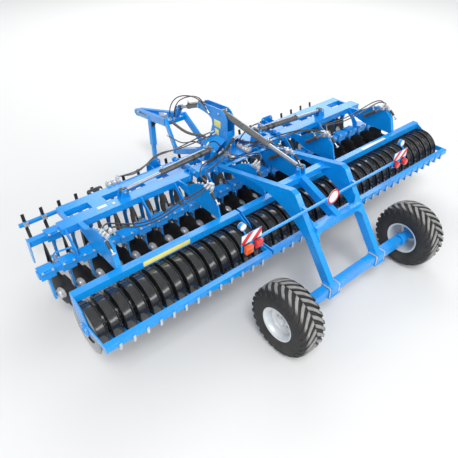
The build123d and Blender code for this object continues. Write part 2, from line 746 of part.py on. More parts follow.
with BuildPart() as jack_leg:
    half = jack_leg_side / 2
    with Locations((jack_x, jack_y, 5)):
        Box(180, 180, 10)
    plate([(jack_y - 85, 10), (jack_y + 85, 10), (jack_y + 30, 95), (jack_y - 30, 95)],
          jack_x - half, jack_x + half)
    cross_plate([(jack_x - 85, 10), (jack_x + 85, 10), (jack_x + 30, 95), (jack_x - 30, 95)],
                jack_y - half, jack_y + half)
    with Locations((jack_x, jack_y, 278)):
        Box(jack_leg_side, jack_leg_side, 536)
save(jack_leg, "jack_leg")
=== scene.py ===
import json
from math import atan2, cos, floor, pi, radians, sin

import bmesh
import bpy
from mathutils import Matrix, Vector


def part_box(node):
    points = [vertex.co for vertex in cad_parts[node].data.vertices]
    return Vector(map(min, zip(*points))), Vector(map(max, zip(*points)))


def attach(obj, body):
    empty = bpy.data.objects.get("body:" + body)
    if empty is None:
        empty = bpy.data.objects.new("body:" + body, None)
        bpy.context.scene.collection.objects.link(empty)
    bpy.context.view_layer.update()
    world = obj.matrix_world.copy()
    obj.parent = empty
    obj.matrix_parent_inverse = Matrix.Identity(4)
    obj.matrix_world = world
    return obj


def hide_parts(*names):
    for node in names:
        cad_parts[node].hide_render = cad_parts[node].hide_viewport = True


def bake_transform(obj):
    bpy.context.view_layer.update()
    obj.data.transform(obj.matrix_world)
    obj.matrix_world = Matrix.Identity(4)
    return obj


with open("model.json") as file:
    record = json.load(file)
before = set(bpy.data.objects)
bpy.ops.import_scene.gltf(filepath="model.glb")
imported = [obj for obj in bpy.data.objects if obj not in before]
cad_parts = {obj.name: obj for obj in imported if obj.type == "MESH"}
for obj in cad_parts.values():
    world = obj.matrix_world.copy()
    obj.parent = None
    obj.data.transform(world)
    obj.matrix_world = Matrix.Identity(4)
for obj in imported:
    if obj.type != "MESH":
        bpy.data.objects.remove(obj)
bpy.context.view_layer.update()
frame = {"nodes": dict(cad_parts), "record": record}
scene = bpy.context.scene
nodes = frame["nodes"]
print("frame loaded")

axleY = sum(corner.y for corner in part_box("left_tyre")) / 2  # the datum along the machine
sides = {"left": -1, "centre": 0, "right": 1}
bodyOf = {"left": "left_wing", "centre": "frame", "right": "right_wing"}

# camera and light
stage = {
    "cameraAt": (-4.033, axleY - 2.390, 4.529),
    "turn": 40.34,  # degrees to the right of the way it travels
    "down": 37.82,
    "lens": 38.62,
    "floorColor": (0.74, 0.74, 0.73),
    "floorRough": 0.85,
    "floorHalf": 60,
    "worldColor": (0.93, 0.96, 1.0),
    "worldStrength": 0.52,
    "sunStrength": 1.5,
    "sunAngle": 22,
    "sunTilt": (24, -18),  # degrees about x and y
    # name: place, what it faces, size, energy
    "panels": {
        "sidePanel": ((-7, axleY - 4, 5.5), (0, 0, 0.8), (7, 4), 240),
        "frontPanel": ((7.5, axleY + 11.0, 9.0), (0.2, 0, 0.9), (13, 8), 950),
        "rearPanel": ((3.5, axleY - 9.0, 6.2), (0, axleY + 1.0, 0.8), (15, 2), 520),
    },
}


def makePanel(name, place, target, size, energy):
    data = bpy.data.lights.new(name, "AREA")
    data.shape = "RECTANGLE"
    data.size, data.size_y = size
    data.energy = energy
    lamp = bpy.data.objects.new(name, data)
    lamp.location = place
    lamp.rotation_euler = (Vector(target) - Vector(place)).to_track_quat("-Z", "Y").to_euler()
    scene.collection.objects.link(lamp)


def makeStage():
    cameraData = bpy.data.cameras.new("camera")
    cameraData.lens = stage["lens"]
    cameraData.sensor_width = 36
    camera = bpy.data.objects.new("camera", cameraData)
    camera.location = stage["cameraAt"]
    camera.rotation_euler = (radians(90 - stage["down"]), 0, radians(-stage["turn"]))
    scene.collection.objects.link(camera)
    scene.camera = camera

    world = bpy.data.worlds.new("softStudio")
    scene.world = world
    world.use_nodes = True
    background = world.node_tree.nodes["Background"]
    background.inputs["Color"].default_value = (*stage["worldColor"], 1)
    background.inputs["Strength"].default_value = stage["worldStrength"]

    sunData = bpy.data.lights.new("skyLight", "SUN")
    sunData.energy = stage["sunStrength"]
    sunData.angle = radians(stage["sunAngle"])
    sun = bpy.data.objects.new("skyLight", sunData)
    sun.rotation_euler = (*(radians(angle) for angle in stage["sunTilt"]), 0)
    scene.collection.objects.link(sun)
    for name, row in stage["panels"].items():
        makePanel(name, *row)

    bm = bmesh.new()
    bmesh.ops.create_grid(bm, x_segments=2, y_segments=2, size=stage["floorHalf"])
    mesh = bpy.data.meshes.new("floor")
    bm.to_mesh(mesh)
    bm.free()
    floorPlane = bpy.data.objects.new("floor", mesh)
    scene.collection.objects.link(floorPlane)
    material = bpy.data.materials.new("paleFloor")
    material.use_nodes = True
    shader = material.node_tree.nodes["Principled BSDF"]
    shader.inputs["Base Color"].default_value = (*stage["floorColor"], 1)
    shader.inputs["Roughness"].default_value = stage["floorRough"]
    mesh.materials.append(material)


scene.view_settings.view_transform = "Standard"
makeStage()
print("stage made")


# effects that several finishes use, each a node group
wear = {"samples": 4, "gain": 5.0, "speckleScale": 45, "speckleGain": 1.6}
settling = {"facingUp": 0.35, "patchFrom": 0.36, "patchGain": 3.0}
tyre = {"radius": 0.437, "lugs": 26, "steps": 104}


def newGroup(name, inputs, outputs):
    group = bpy.data.node_groups.new(name, "ShaderNodeTree")
    for label, kind, value in inputs:
        socket = group.interface.new_socket(label, in_out="INPUT", socket_type=kind)
        socket.default_value = value
    for label, kind in outputs:
        group.interface.new_socket(label, in_out="OUTPUT", socket_type=kind)
    return group, group.nodes.new("NodeGroupInput"), group.nodes.new("NodeGroupOutput")


def mathNode(tree, operation, first, second=None, clamp=False):
    node = tree.nodes.new("ShaderNodeMath")
    node.operation = operation
    node.use_clamp = clamp
    for socket, value in zip(node.inputs, (first, second)):
        if isinstance(value, (int, float)):
            socket.default_value = value
        elif value is not None:
            tree.links.new(value, socket)
    return node.outputs[0]


def noiseNode(tree, scale, detail, vector, roughness=0.55):
    node = tree.nodes.new("ShaderNodeTexNoise")
    node.inputs["Detail"].default_value = detail
    node.inputs["Roughness"].default_value = roughness
    if isinstance(scale, (int, float)):
        node.inputs["Scale"].default_value = scale
    else:
        tree.links.new(scale, node.inputs["Scale"])
    tree.links.new(vector, node.inputs["Vector"])
    return node.outputs["Fac"]


def edgeGroup():
    # where the surface turns within Radius, broken up by noise
    group, given, result = newGroup(
        "edgeWear",
        [("Radius", "NodeSocketFloat", 0.006), ("Amount", "NodeSocketFloat", 0.5)],
        [("Mask", "NodeSocketFloat"), ("Normal", "NodeSocketVector")],
    )
    coord = group.nodes.new("ShaderNodeTexCoord")
    bevel = group.nodes.new("ShaderNodeBevel")
    bevel.samples = wear["samples"]
    group.links.new(given.outputs["Radius"], bevel.inputs["Radius"])
    geometry = group.nodes.new("ShaderNodeNewGeometry")
    dot = group.nodes.new("ShaderNodeVectorMath")
    dot.operation = "DOT_PRODUCT"
    group.links.new(bevel.outputs["Normal"], dot.inputs[0])
    group.links.new(geometry.outputs["Normal"], dot.inputs[1])
    turned = mathNode(group, "SUBTRACT", 1.0, dot.outputs["Value"], True)
    strong = mathNode(group, "MULTIPLY", turned, wear["gain"], True)
    speckle = noiseNode(group, wear["speckleScale"], 5, coord.outputs["Object"])
    specks = mathNode(group, "MULTIPLY", speckle, wear["speckleGain"], True)
    broken = mathNode(group, "MULTIPLY", strong, specks, True)
    mask = mathNode(group, "MULTIPLY", broken, given.outputs["Amount"], True)
    group.links.new(mask, result.inputs["Mask"])
    group.links.new(bevel.outputs["Normal"], result.inputs["Normal"])
    return group


def dustGroup():
    # dust that settles on what faces up and on what is near the ground
    group, given, result = newGroup(
        "settledDust",
        [("Amount", "NodeSocketFloat", 0.4), ("Scale", "NodeSocketFloat", 6.0),
         ("Reach", "NodeSocketFloat", 0.6)],
        [("Mask", "NodeSocketFloat")],
    )
    coord = group.nodes.new("ShaderNodeTexCoord")
    split = group.nodes.new("ShaderNodeSeparateXYZ")
    group.links.new(coord.outputs["Object"], split.inputs[0])
    height = mathNode(group, "DIVIDE", split.outputs["Z"], given.outputs["Reach"])
    low = mathNode(group, "SUBTRACT", 1.0, height, True)
    geometry = group.nodes.new("ShaderNodeNewGeometry")
    facing = group.nodes.new("ShaderNodeSeparateXYZ")
    group.links.new(geometry.outputs["Normal"], facing.inputs[0])
    up = mathNode(group, "MULTIPLY", facing.outputs["Z"], settling["facingUp"], True)
    where = mathNode(group, "ADD", low, up, True)
    patches = noiseNode(group, given.outputs["Scale"], 7, coord.outputs["Object"], 0.65)
    above = mathNode(group, "SUBTRACT", patches, settling["patchFrom"], True)
    spread = mathNode(group, "MULTIPLY", above, settling["patchGain"], True)
    covered = mathNode(group, "MULTIPLY", where, spread)
    mask = mathNode(group, "MULTIPLY", covered, given.outputs["Amount"], True)
    group.links.new(mask, result.inputs["Mask"])
    return group


def treadGroup():
    # pale dust on what stands furthest from the wheels' axis
    group, given, result = newGroup(
        "treadDust",
        [("From", "NodeSocketFloat", 0.414), ("To", "NodeSocketFloat", 0.430)],
        [("Mask", "NodeSocketFloat")],
    )
    coord = group.nodes.new("ShaderNodeTexCoord")
    split = group.nodes.new("ShaderNodeSeparateXYZ")
    group.links.new(coord.outputs["Object"], split.inputs[0])
    along = mathNode(group, "SUBTRACT", split.outputs["Y"], axleY)
    up = mathNode(group, "SUBTRACT", split.outputs["Z"], tyre["radius"])
    squares = mathNode(group, "ADD", mathNode(group, "POWER", mathNode(group, "ABSOLUTE", along), 2.0),
                       mathNode(group, "POWER", mathNode(group, "ABSOLUTE", up), 2.0))
    out = mathNode(group, "SUBTRACT", mathNode(group, "SQRT", squares), given.outputs["From"])
    span = mathNode(group, "SUBTRACT", given.outputs["To"], given.outputs["From"])
    rise = mathNode(group, "DIVIDE", out, span, True)
    patches = noiseNode(group, 14, 6, coord.outputs["Object"], 0.6)
    mask = mathNode(group, "MULTIPLY", rise, mathNode(group, "ADD", patches, 0.25, True), True)
    group.links.new(mask, result.inputs["Mask"])
    return group


edgeWear = edgeGroup()
settledDust = dustGroup()
treadDust = treadGroup()

dustColor = (0.30, 0.285, 0.265)
# how all finishes vary: cloudy colour, roughness round its own value, rougher dust
surface = {"coatRough": 0.12, "cloudFrom": 0.35, "cloudGain": 3.0, "roughSpread": 0.16, "dustRough": 0.45,
           "bumpDeep": 0.002}
# what a finish has unless its own row says otherwise; radius is that of its worn edges
plainLook = dict(metallic=0.0, coat=0.0, specular=0.5, reach=0.6, dust=0.08, edge=0.2, radius=0.001,
                 scale=10, bump=0.02, bumpScale=90)
# color: the finish, second: what it varies towards, worn: at the edges
finishes = {
    "frameBlue": dict(color=(0.002, 0.315, 0.84), second=(0.002, 0.265, 0.75), worn=(0.12, 0.60, 0.95),
                      rough=0.28, coat=0.40, specular=0.35, dust=0.12, edge=0.6, radius=0.005, scale=3,
                      bump=0.08, bumpScale=130),
    "rollerBlack": dict(color=(0.010, 0.011, 0.012), second=(0.020, 0.021, 0.022), worn=(0.20, 0.20, 0.21),
                        rough=0.24, coat=0.8, dust=0.04, edge=0.35, radius=0.004, scale=5, bump=0.08,
                        bumpScale=60),
    "discSteel": dict(color=(0.008, 0.008, 0.010), second=(0.020, 0.019, 0.018), worn=(0.14, 0.135, 0.13),
                      rough=0.48, specular=0.22, dust=0.05, radius=0.004, scale=7, bump=0.12, bumpScale=70),
    "zincPlate": dict(color=(0.68, 0.69, 0.70), second=(0.50, 0.51, 0.52), worn=(0.85, 0.85, 0.85),
                      rough=0.34, metallic=0.4, edge=0.3, radius=0.002, scale=38, bump=0.10),
    "barrelGrey": dict(color=(0.075, 0.077, 0.080), second=(0.110, 0.112, 0.115), worn=(0.32, 0.33, 0.35),
                       rough=0.26, metallic=0.2, coat=0.5, dust=0.28, edge=0.3, radius=0.003, scale=6,
                       bump=0.06, bumpScale=80),
    "rodGrey": dict(color=(0.150, 0.150, 0.146), second=(0.210, 0.208, 0.200), worn=(0.45, 0.45, 0.44),
                    rough=0.28, metallic=0.35, coat=0.5, dust=0.10, edge=0.3, radius=0.003, scale=6,
                    bump=0.06, bumpScale=80),
    "chromeRod": dict(color=(0.60, 0.62, 0.64), second=(0.54, 0.56, 0.58), worn=(0.7, 0.7, 0.7),
                      rough=0.30, metallic=0.9, dust=0.04, edge=0.0, scale=20, bump=0.01, bumpScale=200),
    "tyreRubber": dict(color=(0.010, 0.010, 0.011), second=(0.020, 0.020, 0.021), worn=(0.08, 0.08, 0.078),
                       rough=0.66, dust=0.12, edge=0.4, radius=0.006, scale=9, bump=0.25, bumpScale=160,
                       reach=0.9, tread=(0.34, 0.335, 0.325)),
    "rimSilver": dict(color=(0.72, 0.75, 0.77), second=(0.60, 0.63, 0.65), worn=(0.82, 0.83, 0.84),
                      rough=0.34, metallic=0.2, coat=0.2, dust=0.18, edge=0.3, radius=0.003, scale=8,
                      bump=0.05),
    "hoseRubber": dict(color=(0.018, 0.018, 0.019), second=(0.034, 0.034, 0.035), worn=(0.08, 0.08, 0.08),
                       rough=0.36, coat=0.6, dust=0.20, scale=18, bump=0.12, bumpScale=240),
    "hoseSleeve": dict(color=(0.105, 0.098, 0.078), second=(0.150, 0.135, 0.105), worn=(0.24, 0.23, 0.20),
                       rough=0.55, dust=0.25, scale=30, bump=0.25, bumpScale=420),
    "blackIron": dict(color=(0.018, 0.018, 0.019), second=(0.034, 0.033, 0.033), worn=(0.22, 0.20, 0.19),
                      rough=0.42, dust=0.3, edge=0.5, radius=0.003, scale=12, bump=0.14, bumpScale=120),
    "signWhite": dict(color=(0.84, 0.85, 0.85), second=(0.78, 0.79, 0.80), worn=(0.60, 0.60, 0.60),
                      rough=0.35, coat=0.2),
    "signRed": dict(color=(0.66, 0.016, 0.022), second=(0.56, 0.018, 0.020), worn=(0.5, 0.2, 0.2),
                    rough=0.32, coat=0.3),
    "lampRed": dict(color=(0.72, 0.012, 0.012), second=(0.56, 0.010, 0.008), worn=(0.8, 0.2, 0.15),
                    rough=0.14, coat=0.7, radius=0.003, bump=0.10, bumpScale=260),
    "lampAmber": dict(color=(0.82, 0.11, 0.010), second=(0.68, 0.08, 0.008), worn=(0.9, 0.4, 0.2),
                      rough=0.16, coat=0.7, radius=0.003, bump=0.10, bumpScale=260),
    "labelYellow": dict(color=(0.92, 0.86, 0.26), second=(0.88, 0.80, 0.22), worn=(0.6, 0.5, 0.3),
                        rough=0.42, coat=0.1, edge=0.1),
}


def mixed(tree, amount, first, second):
    # first is a colour or a socket, second a colour
    mix = tree.nodes.new("ShaderNodeMix")
    mix.data_type = "RGBA"
    tree.links.new(amount, mix.inputs["Factor"])
    if isinstance(first, tuple):
        mix.inputs["A"].default_value = (*first, 1)
    else:
        tree.links.new(first, mix.inputs["A"])
    mix.inputs["B"].default_value = (*second, 1)
    return mix.outputs["Result"]


def placed(tree, group, **values):
    node = tree.nodes.new("ShaderNodeGroup")
    node.node_tree = group
    for label, value in values.items():
        node.inputs[label].default_value = value
    return node


def makeFinish(name, look):
    material = bpy.data.materials.new(name)
    material.use_nodes = True
    tree = material.node_tree
    shader = tree.nodes["Principled BSDF"]
    shader.inputs["Metallic"].default_value = look["metallic"]
    shader.inputs["Coat Weight"].default_value = look["coat"]
    shader.inputs["Coat Roughness"].default_value = surface["coatRough"]
    shader.inputs["Specular IOR Level"].default_value = look["specular"]
    coord = tree.nodes.new("ShaderNodeTexCoord")
    edge = placed(tree, edgeWear, Radius=look["radius"], Amount=look["edge"])
    dust = placed(tree, settledDust, Amount=look["dust"], Reach=look["reach"])

    cloud = noiseNode(tree, look["scale"], 6, coord.outputs["Object"])
    above = mathNode(tree, "SUBTRACT", cloud, surface["cloudFrom"], True)
    contrast = mathNode(tree, "MULTIPLY", above, surface["cloudGain"], True)
    color = mixed(tree, contrast, look["color"], look["second"])
    color = mixed(tree, edge.outputs["Mask"], color, look["worn"])
    if "tread" in look:
        tread = placed(tree, treadDust)
        color = mixed(tree, tread.outputs["Mask"], color, look["tread"])
    color = mixed(tree, dust.outputs["Mask"], color, dustColor)
    tree.links.new(color, shader.inputs["Base Color"])

    spread = surface["roughSpread"]
    rough = mathNode(tree, "ADD", mathNode(tree, "MULTIPLY", cloud, spread), look["rough"] - spread / 2)
    dustRough = mathNode(tree, "MULTIPLY", dust.outputs["Mask"], surface["dustRough"])
    tree.links.new(mathNode(tree, "ADD", rough, dustRough, True), shader.inputs["Roughness"])
    fine = noiseNode(tree, look["bumpScale"], 4, coord.outputs["Object"])
    bump = tree.nodes.new("ShaderNodeBump")
    bump.inputs["Strength"].default_value = look["bump"]
    bump.inputs["Distance"].default_value = surface["bumpDeep"]
    tree.links.new(fine, bump.inputs["Height"])
    tree.links.new(edge.outputs["Normal"], bump.inputs["Normal"])
    tree.links.new(bump.outputs["Normal"], shader.inputs["Normal"])
    return material


finish = {name: makeFinish(name, {**plainLook, **look}) for name, look in finishes.items()}

# the record's material slot: the finish of its nodes
slotFinish = {
    "frame_blue": "frameBlue", "roller_black": "rollerBlack", "disc_steel": "discSteel", "zinc": "zincPlate",
    "cylinder_black": "barrelGrey", "chrome": "chromeRod", "tyre": "tyreRubber", "rim_silver": "rimSilver",
    "board_blue": "frameBlue", "lamp_red": "lampRed", "sign_white": "signWhite",
}
slotOf = {row["node"]: row["material_slot"] for row in frame["record"]["subparts"]}
for name, slotName in slotOf.items():
    nodes[name].data.materials.clear()
    nodes[name].data.materials.append(finish[slotFinish[slotName]])
print("finishes made")


# making pieces
mergeDist = 1e-5


def finishPiece(name, bm, materials, body, smooth=35):
    bmesh.ops.recalc_face_normals(bm, faces=bm.faces)
    mesh = bpy.data.meshes.new(name)
    bm.to_mesh(mesh)
    bm.free()
    for material in materials:
        mesh.materials.append(finish[material])
    mesh.shade_smooth()
    mesh.set_sharp_from_angle(angle=radians(smooth))
    piece = bpy.data.objects.new(name, mesh)
    scene.collection.objects.link(piece)
    if isinstance(body, str):
        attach(piece, body)
    else:
        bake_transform(piece)
    return piece


def template(bm):
    mesh = bpy.data.meshes.new("template")
    bm.to_mesh(mesh)
    bm.free()
    return mesh


def addCopies(bm, mesh, places, material=None):
    for place in places:
        copy = mesh.copy()
        copy.transform(place)
        if material is not None:
            copy.polygons.foreach_set("material_index", [material] * len(copy.polygons))
        bm.from_mesh(copy)
        bpy.data.meshes.remove(copy)


def paint(verts, material):
    for face in {face for vert in verts for face in vert.link_faces}:
        face.material_index = material


def axes(origin, along, side=(0, 0, 1)):
    # a placing whose z runs along, and whose x is as near as can be to side
    z = Vector(along).normalized()
    y = z.cross(Vector(side)).normalized()
    x = y.cross(z)
    return Matrix.Translation(Vector(origin)) @ Matrix((x, y, z)).transposed().to_4x4()


def spun(profile, steps):
    # a profile of (radius, height) turned about z
    bm = bmesh.new()
    verts = [bm.verts.new((radius, 0, height)) for radius, height in profile]
    edges = [bm.edges.new(pair) for pair in zip(verts, verts[1:])]
    bmesh.ops.spin(bm, geom=verts + edges, cent=(0, 0, 0), axis=(0, 0, 1), angle=2 * pi, steps=steps,
                   use_merge=True)
    bmesh.ops.remove_doubles(bm, verts=bm.verts, dist=mergeDist)
    bmesh.ops.recalc_face_normals(bm, faces=bm.faces)
    return bm


def addSpun(bm, profile, steps, place, material=0):
    addCopies(bm, template(spun(profile, steps)), [place], material)


def addBox(bm, low, high, material=0, round=0.0):
    size = Vector(high) - Vector(low)
    place = Matrix.Translation((Vector(low) + Vector(high)) / 2) @ Matrix.Diagonal((*size, 1))
    part = bmesh.new()
    bmesh.ops.create_cube(part, size=1, matrix=place)
    if round:
        bmesh.ops.bevel(part, geom=part.edges[:], offset=round, segments=2, profile=0.5, affect="EDGES",
                        material=-1)
    addCopies(bm, template(part), [Matrix.Identity(4)], material)


def addRod(bm, start, end, radius, material=0, steps=14, tip=None):
    start, end = Vector(start), Vector(end)
    place = axes((start + end) / 2, end - start, (0.31, 0.17, 0.93))
    made = bmesh.ops.create_cone(bm, cap_ends=True, segments=steps, radius1=radius,
                                 radius2=radius if tip is None else tip,
                                 depth=(end - start).length, matrix=place)
    paint(made["verts"], material)


def addPlate(bm, outline, low, high, material=0, across="x"):
    # a plate across x or y; its outline is (y, z) or (x, z)
    if across == "x":
        verts = [bm.verts.new((low, first, z)) for first, z in outline]
        way = (high - low, 0, 0)
    else:
        verts = [bm.verts.new((first, low, z)) for first, z in outline]
        way = (0, high - low, 0)
    face = bm.faces.new(verts)
    made = bmesh.ops.extrude_face_region(bm, geom=[face])
    moved = [item for item in made["geom"] if isinstance(item, bmesh.types.BMVert)]
    bmesh.ops.translate(bm, vec=way, verts=moved)
    paint(verts + moved, material)


def hexBolt(radius, high, washer=1.5):
    # a hexagon head on a washer, standing on z = 0
    bm = bmesh.new()
    bmesh.ops.create_cone(bm, cap_ends=True, segments=12, radius1=radius * washer, radius2=radius * washer,
                          depth=high * 0.25, matrix=Matrix.Translation((0, 0, high * 0.125)))
    bmesh.ops.create_cone(bm, cap_ends=True, segments=6, radius1=radius, radius2=radius * 0.94,
                          depth=high * 0.75, matrix=Matrix.Translation((0, 0, high * 0.625)))
    return template(bm)


def middleOf(node):
    low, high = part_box(node)
    return (low + high) / 2


# wheels: one half of the tyre's section, as distance from its middle and radius
tyreSection = ((0.0, 0.411), (0.085, 0.409), (0.128, 0.401), (0.155, 0.387), (0.172, 0.365), (0.182, 0.336),
               (0.187, 0.305), (0.186, 0.272), (0.180, 0.244), (0.171, 0.226), (0.163, 0.208),
               (0.150, 0.204))
# along a lug: distance from the middle, way round the tyre in metres, top radius, width
lugCourse = ((0.004, 0.096, 0.437, 0.046), (0.036, 0.074, 0.4365, 0.048), (0.074, 0.040, 0.435, 0.050),
             (0.110, -0.002, 0.430, 0.053), (0.137, -0.036, 0.421, 0.055), (0.159, -0.062, 0.406, 0.055),
             (0.174, -0.078, 0.388, 0.052), (0.184, -0.088, 0.360, 0.038))
lug = {"deep": 0.045, "shoulder": 0.170, "shoulderDeep": 0.012, "shoulderIn": 0.028, "edge": 0.004,
       "sharp": 40}  # sharp, in degrees: what its bevel takes


def lugMesh():
    bm = bmesh.new()
    count = len(lugCourse) - 1
    bmesh.ops.create_grid(bm, x_segments=count, y_segments=2, size=0.5)
    for vert in bm.verts:
        along, across = round((vert.co.x + 0.5) * count), vert.co.y * 2
        x, sweep, top, wide = lugCourse[along]
        turn = (sweep + across * wide / 2) / tyre["radius"]
        vert.co = (x, top * sin(turn), top * cos(turn))
    lifted = bmesh.ops.extrude_face_region(bm, geom=bm.faces[:])
    for vert in [item for item in lifted["geom"] if isinstance(item, bmesh.types.BMVert)]:
        atShoulder = vert.co.x > lug["shoulder"]
        out = Vector((0, vert.co.y, vert.co.z)).normalized()
        vert.co -= out * (lug["shoulderDeep"] if atShoulder else lug["deep"])
        vert.co.x -= lug["shoulderIn"] if atShoulder else 0
    bmesh.ops.recalc_face_normals(bm, faces=bm.faces)
    edges = [edge for edge in bm.edges if edge.calc_face_angle(0) > radians(lug["sharp"])]
    bmesh.ops.bevel(bm, geom=edges, offset=lug["edge"], segments=1, profile=0.5, affect="EDGES", material=-1,
                    clamp_overlap=True)
    return template(bm)


def makeTyre(name):
    profile = [(radius, -x) for x, radius in reversed(tyreSection)]
    profile += [(radius, x) for x, radius in tyreSection[1:]]
    bm = spun(profile + [profile[0]], tyre["steps"])
    bmesh.ops.rotate(bm, cent=(0, 0, 0), matrix=Matrix.Rotation(pi / 2, 3, "Y"), verts=bm.verts)
    places = []
    for way in (-1, 1):
        for n in range(tyre["lugs"]):
            angle = 2 * pi * (n + (way + 1) / 4) / tyre["lugs"]
            places.append(Matrix.Rotation(angle, 4, "X") @ Matrix.Diagonal((way, 1, 1, 1)))
    addCopies(bm, lugMesh(), places)
    bmesh.ops.translate(bm, vec=middleOf(f"{name}_tyre"), verts=bm.verts)
    piece = finishPiece(f"{name}_tyre_tread", bm, ["tyreRubber"], f"{name}_wheel", 30)
    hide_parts(f"{name}_tyre")


# radius, distance outwards from the wheel's middle; the dish is on the outer side
rimSection = ((0.046, 0.058), (0.090, 0.058), (0.110, 0.046), (0.150, 0.052), (0.168, 0.070),
              (0.180, 0.100), (0.188, 0.135), (0.197, 0.152), (0.214, 0.158), (0.217, 0.165),
              (0.212, 0.168), (0.195, 0.162), (0.180, 0.150), (0.170, 0.105), (0.172, 0.0),
              (0.178, -0.08), (0.186, -0.135), (0.195, -0.152), (0.212, -0.158), (0.215, -0.165),
              (0.209, -0.168), (0.190, -0.160), (0.178, -0.135), (0.170, -0.08), (0.164, 0.0),
              (0.162, 0.060), (0.148, 0.044), (0.110, 0.038), (0.090, 0.050), (0.046, 0.050),
              (0.046, 0.058))
boltCircle = {"radius": 0.085, "count": 8, "out": 0.056, "bolt": (0.012, 0.018)}


def makeRim(name, side):
    bm = spun(rimSection, 64)
    places = []
    for n in range(boltCircle["count"]):
        angle = 2 * pi * n / boltCircle["count"]
        spot = (boltCircle["radius"] * cos(angle), boltCircle["radius"] * sin(angle), boltCircle["out"])
        places.append(Matrix.Translation(spot))
    addCopies(bm, hexBolt(*boltCircle["bolt"]), places, 1)
    bmesh.ops.transform(bm, matrix=axes(middleOf(f"{name}_rim"), (side, 0, 0)), verts=bm.verts)
    piece = finishPiece(f"{name}_rim_dish", bm, ["rimSilver", "zincPlate"], f"{name}_wheel", 40)
    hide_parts(f"{name}_rim")


# radius, distance outwards from the inner end of the hub
hubSection = ((0.0305, 0.0), (0.078, 0.0), (0.082, 0.004), (0.082, 0.056), (0.078, 0.060), (0.060, 0.064),
              (0.060, 0.270), (0.100, 0.276), (0.100, 0.287), (0.0455, 0.287), (0.045, 0.330),
              (0.040, 0.342), (0.0, 0.345), (0.0, 0.2), (0.0305, 0.2), (0.0305, 0.0))
hubCap = 0.286  # where its plain cap starts


def makeHub(name, side):
    bm = spun(hubSection, 40)
    low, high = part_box(f"{name}_wheel_hub")
    inner = (low.x if side > 0 else high.x, (low.y + high.y) / 2, (low.z + high.z) / 2)
    bmesh.ops.transform(bm, matrix=axes(inner, (side, 0, 0)), verts=bm.verts)
    for face in bm.faces:
        if abs(face.calc_center_median().x) > abs(inner[0]) + hubCap:
            face.material_index = 1
    piece = finishPiece(f"{name}_hub_turned", bm, ["frameBlue", "rimSilver"], f"{name}_wheel",
                        30)
    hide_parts(f"{name}_wheel_hub")


for name, side in (("left", -1), ("right", 1)):
    makeTyre(name)
    makeRim(name, side)
    makeHub(name, side)
print("wheels made")

# ring rollers
roller = {"pitch": 0.157, "rings": {"left": 14, "centre": 10, "right": 14}, "core": 0.168, "steps": 96,
          "shaft": 0.030, "endGap": 0.026}
# across one ring: from its middle, radius; none is the core's
ringSection = ((-0.0575, None), (-0.0575, 0.286), (-0.0560, 0.2925), (-0.0530, 0.295), (-0.0495, 0.2920),
               (-0.0465, 0.278), (-0.0420, 0.2705), (-0.030, 0.2712), (-0.015, 0.2722), (0.0, 0.2725),
               (0.015, 0.2722), (0.030, 0.2712), (0.0420, 0.2705), (0.0465, 0.278), (0.0495, 0.2920),
               (0.0530, 0.295), (0.0560, 0.2925), (0.0575, 0.286), (0.0575, None))


def ringPlaces(name):
    low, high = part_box(f"{name}_roller")
    count = roller["rings"][name]
    first = (low.x + high.x - (count - 1) * roller["pitch"]) / 2
    return [first + n * roller["pitch"] for n in range(count)]


def makeRoller(name):
    low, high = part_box(f"{name}_roller")
    core, shaft, gap = roller["core"], roller["shaft"], roller["endGap"]
    profile = [(0, low.x), (shaft, low.x), (shaft, low.x + gap), (core, low.x + gap)]
    for middle in ringPlaces(name):
        profile += [(core if radius is None else radius, middle + x) for x, radius in ringSection]
    profile += [(core, high.x - gap), (shaft, high.x - gap), (shaft, high.x), (0, high.x)]
    bm = spun(profile, roller["steps"])
    centre = (0, (low.y + high.y) / 2, (low.z + high.z) / 2)
    bmesh.ops.transform(bm, matrix=axes(centre, (1, 0, 0)), verts=bm.verts)
    piece = finishPiece(f"{name}_ring_roller", bm, ["rollerBlack"], f"{name}_roller", 40)
    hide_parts(f"{name}_roller")


# flange bearings where a roller's shaft goes through the end plates: radius, distance outwards
bearing = {"profile": ((0.031, 0.0), (0.082, 0.0), (0.082, 0.008), (0.060, 0.012), (0.056, 0.020),
                       (0.034, 0.022), (0.031, 0.018), (0.031, 0.0)), "bolts": 4, "boltRadius": 0.069,
           "boltOut": 0.008, "bolt": (0.010, 0.010), "thin": 0.25}  # thin where two sections meet


def makeRollerBearings(name):
    low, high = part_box(f"{name}_roller_frame")
    middle = middleOf(f"{name}_roller")
    bm = bmesh.new()
    flange = template(spun(bearing["profile"], 28))
    bolt = hexBolt(*bearing["bolt"])
    for x, way in ((low.x, -1), (high.x, 1)):
        outside = name != "centre" and way == sides[name]
        squeeze = Matrix.Diagonal((1, 1, 1 if outside else bearing["thin"], 1))
        place = axes((x, middle.y, middle.z), (way, 0, 0)) @ squeeze
        addCopies(bm, flange, [place], 0)
        if outside:
            around = [n * pi / 2 + pi / 4 for n in range(bearing["bolts"])]
            far, out = bearing["boltRadius"], bearing["boltOut"]
            spots = [(far * cos(angle), far * sin(angle), out) for angle in around]
            addCopies(bm, bolt, [place @ Matrix.Translation(spot) for spot in spots], 1)
    finishPiece(f"{name}_roller_bearings", bm, ["frameBlue", "zincPlate"], bodyOf[name], 30)


# straps on the backs of the scraper bars, one for each scraper, with its nuts
strap = {"wide": 0.030, "thick": 0.003, "down": (0.114, 0.030), "edge": 0.001, "nut": (0.010, 0.007, 1.35),
         "nutsDown": (0.050, 0.098)}  # down is from the bar's top


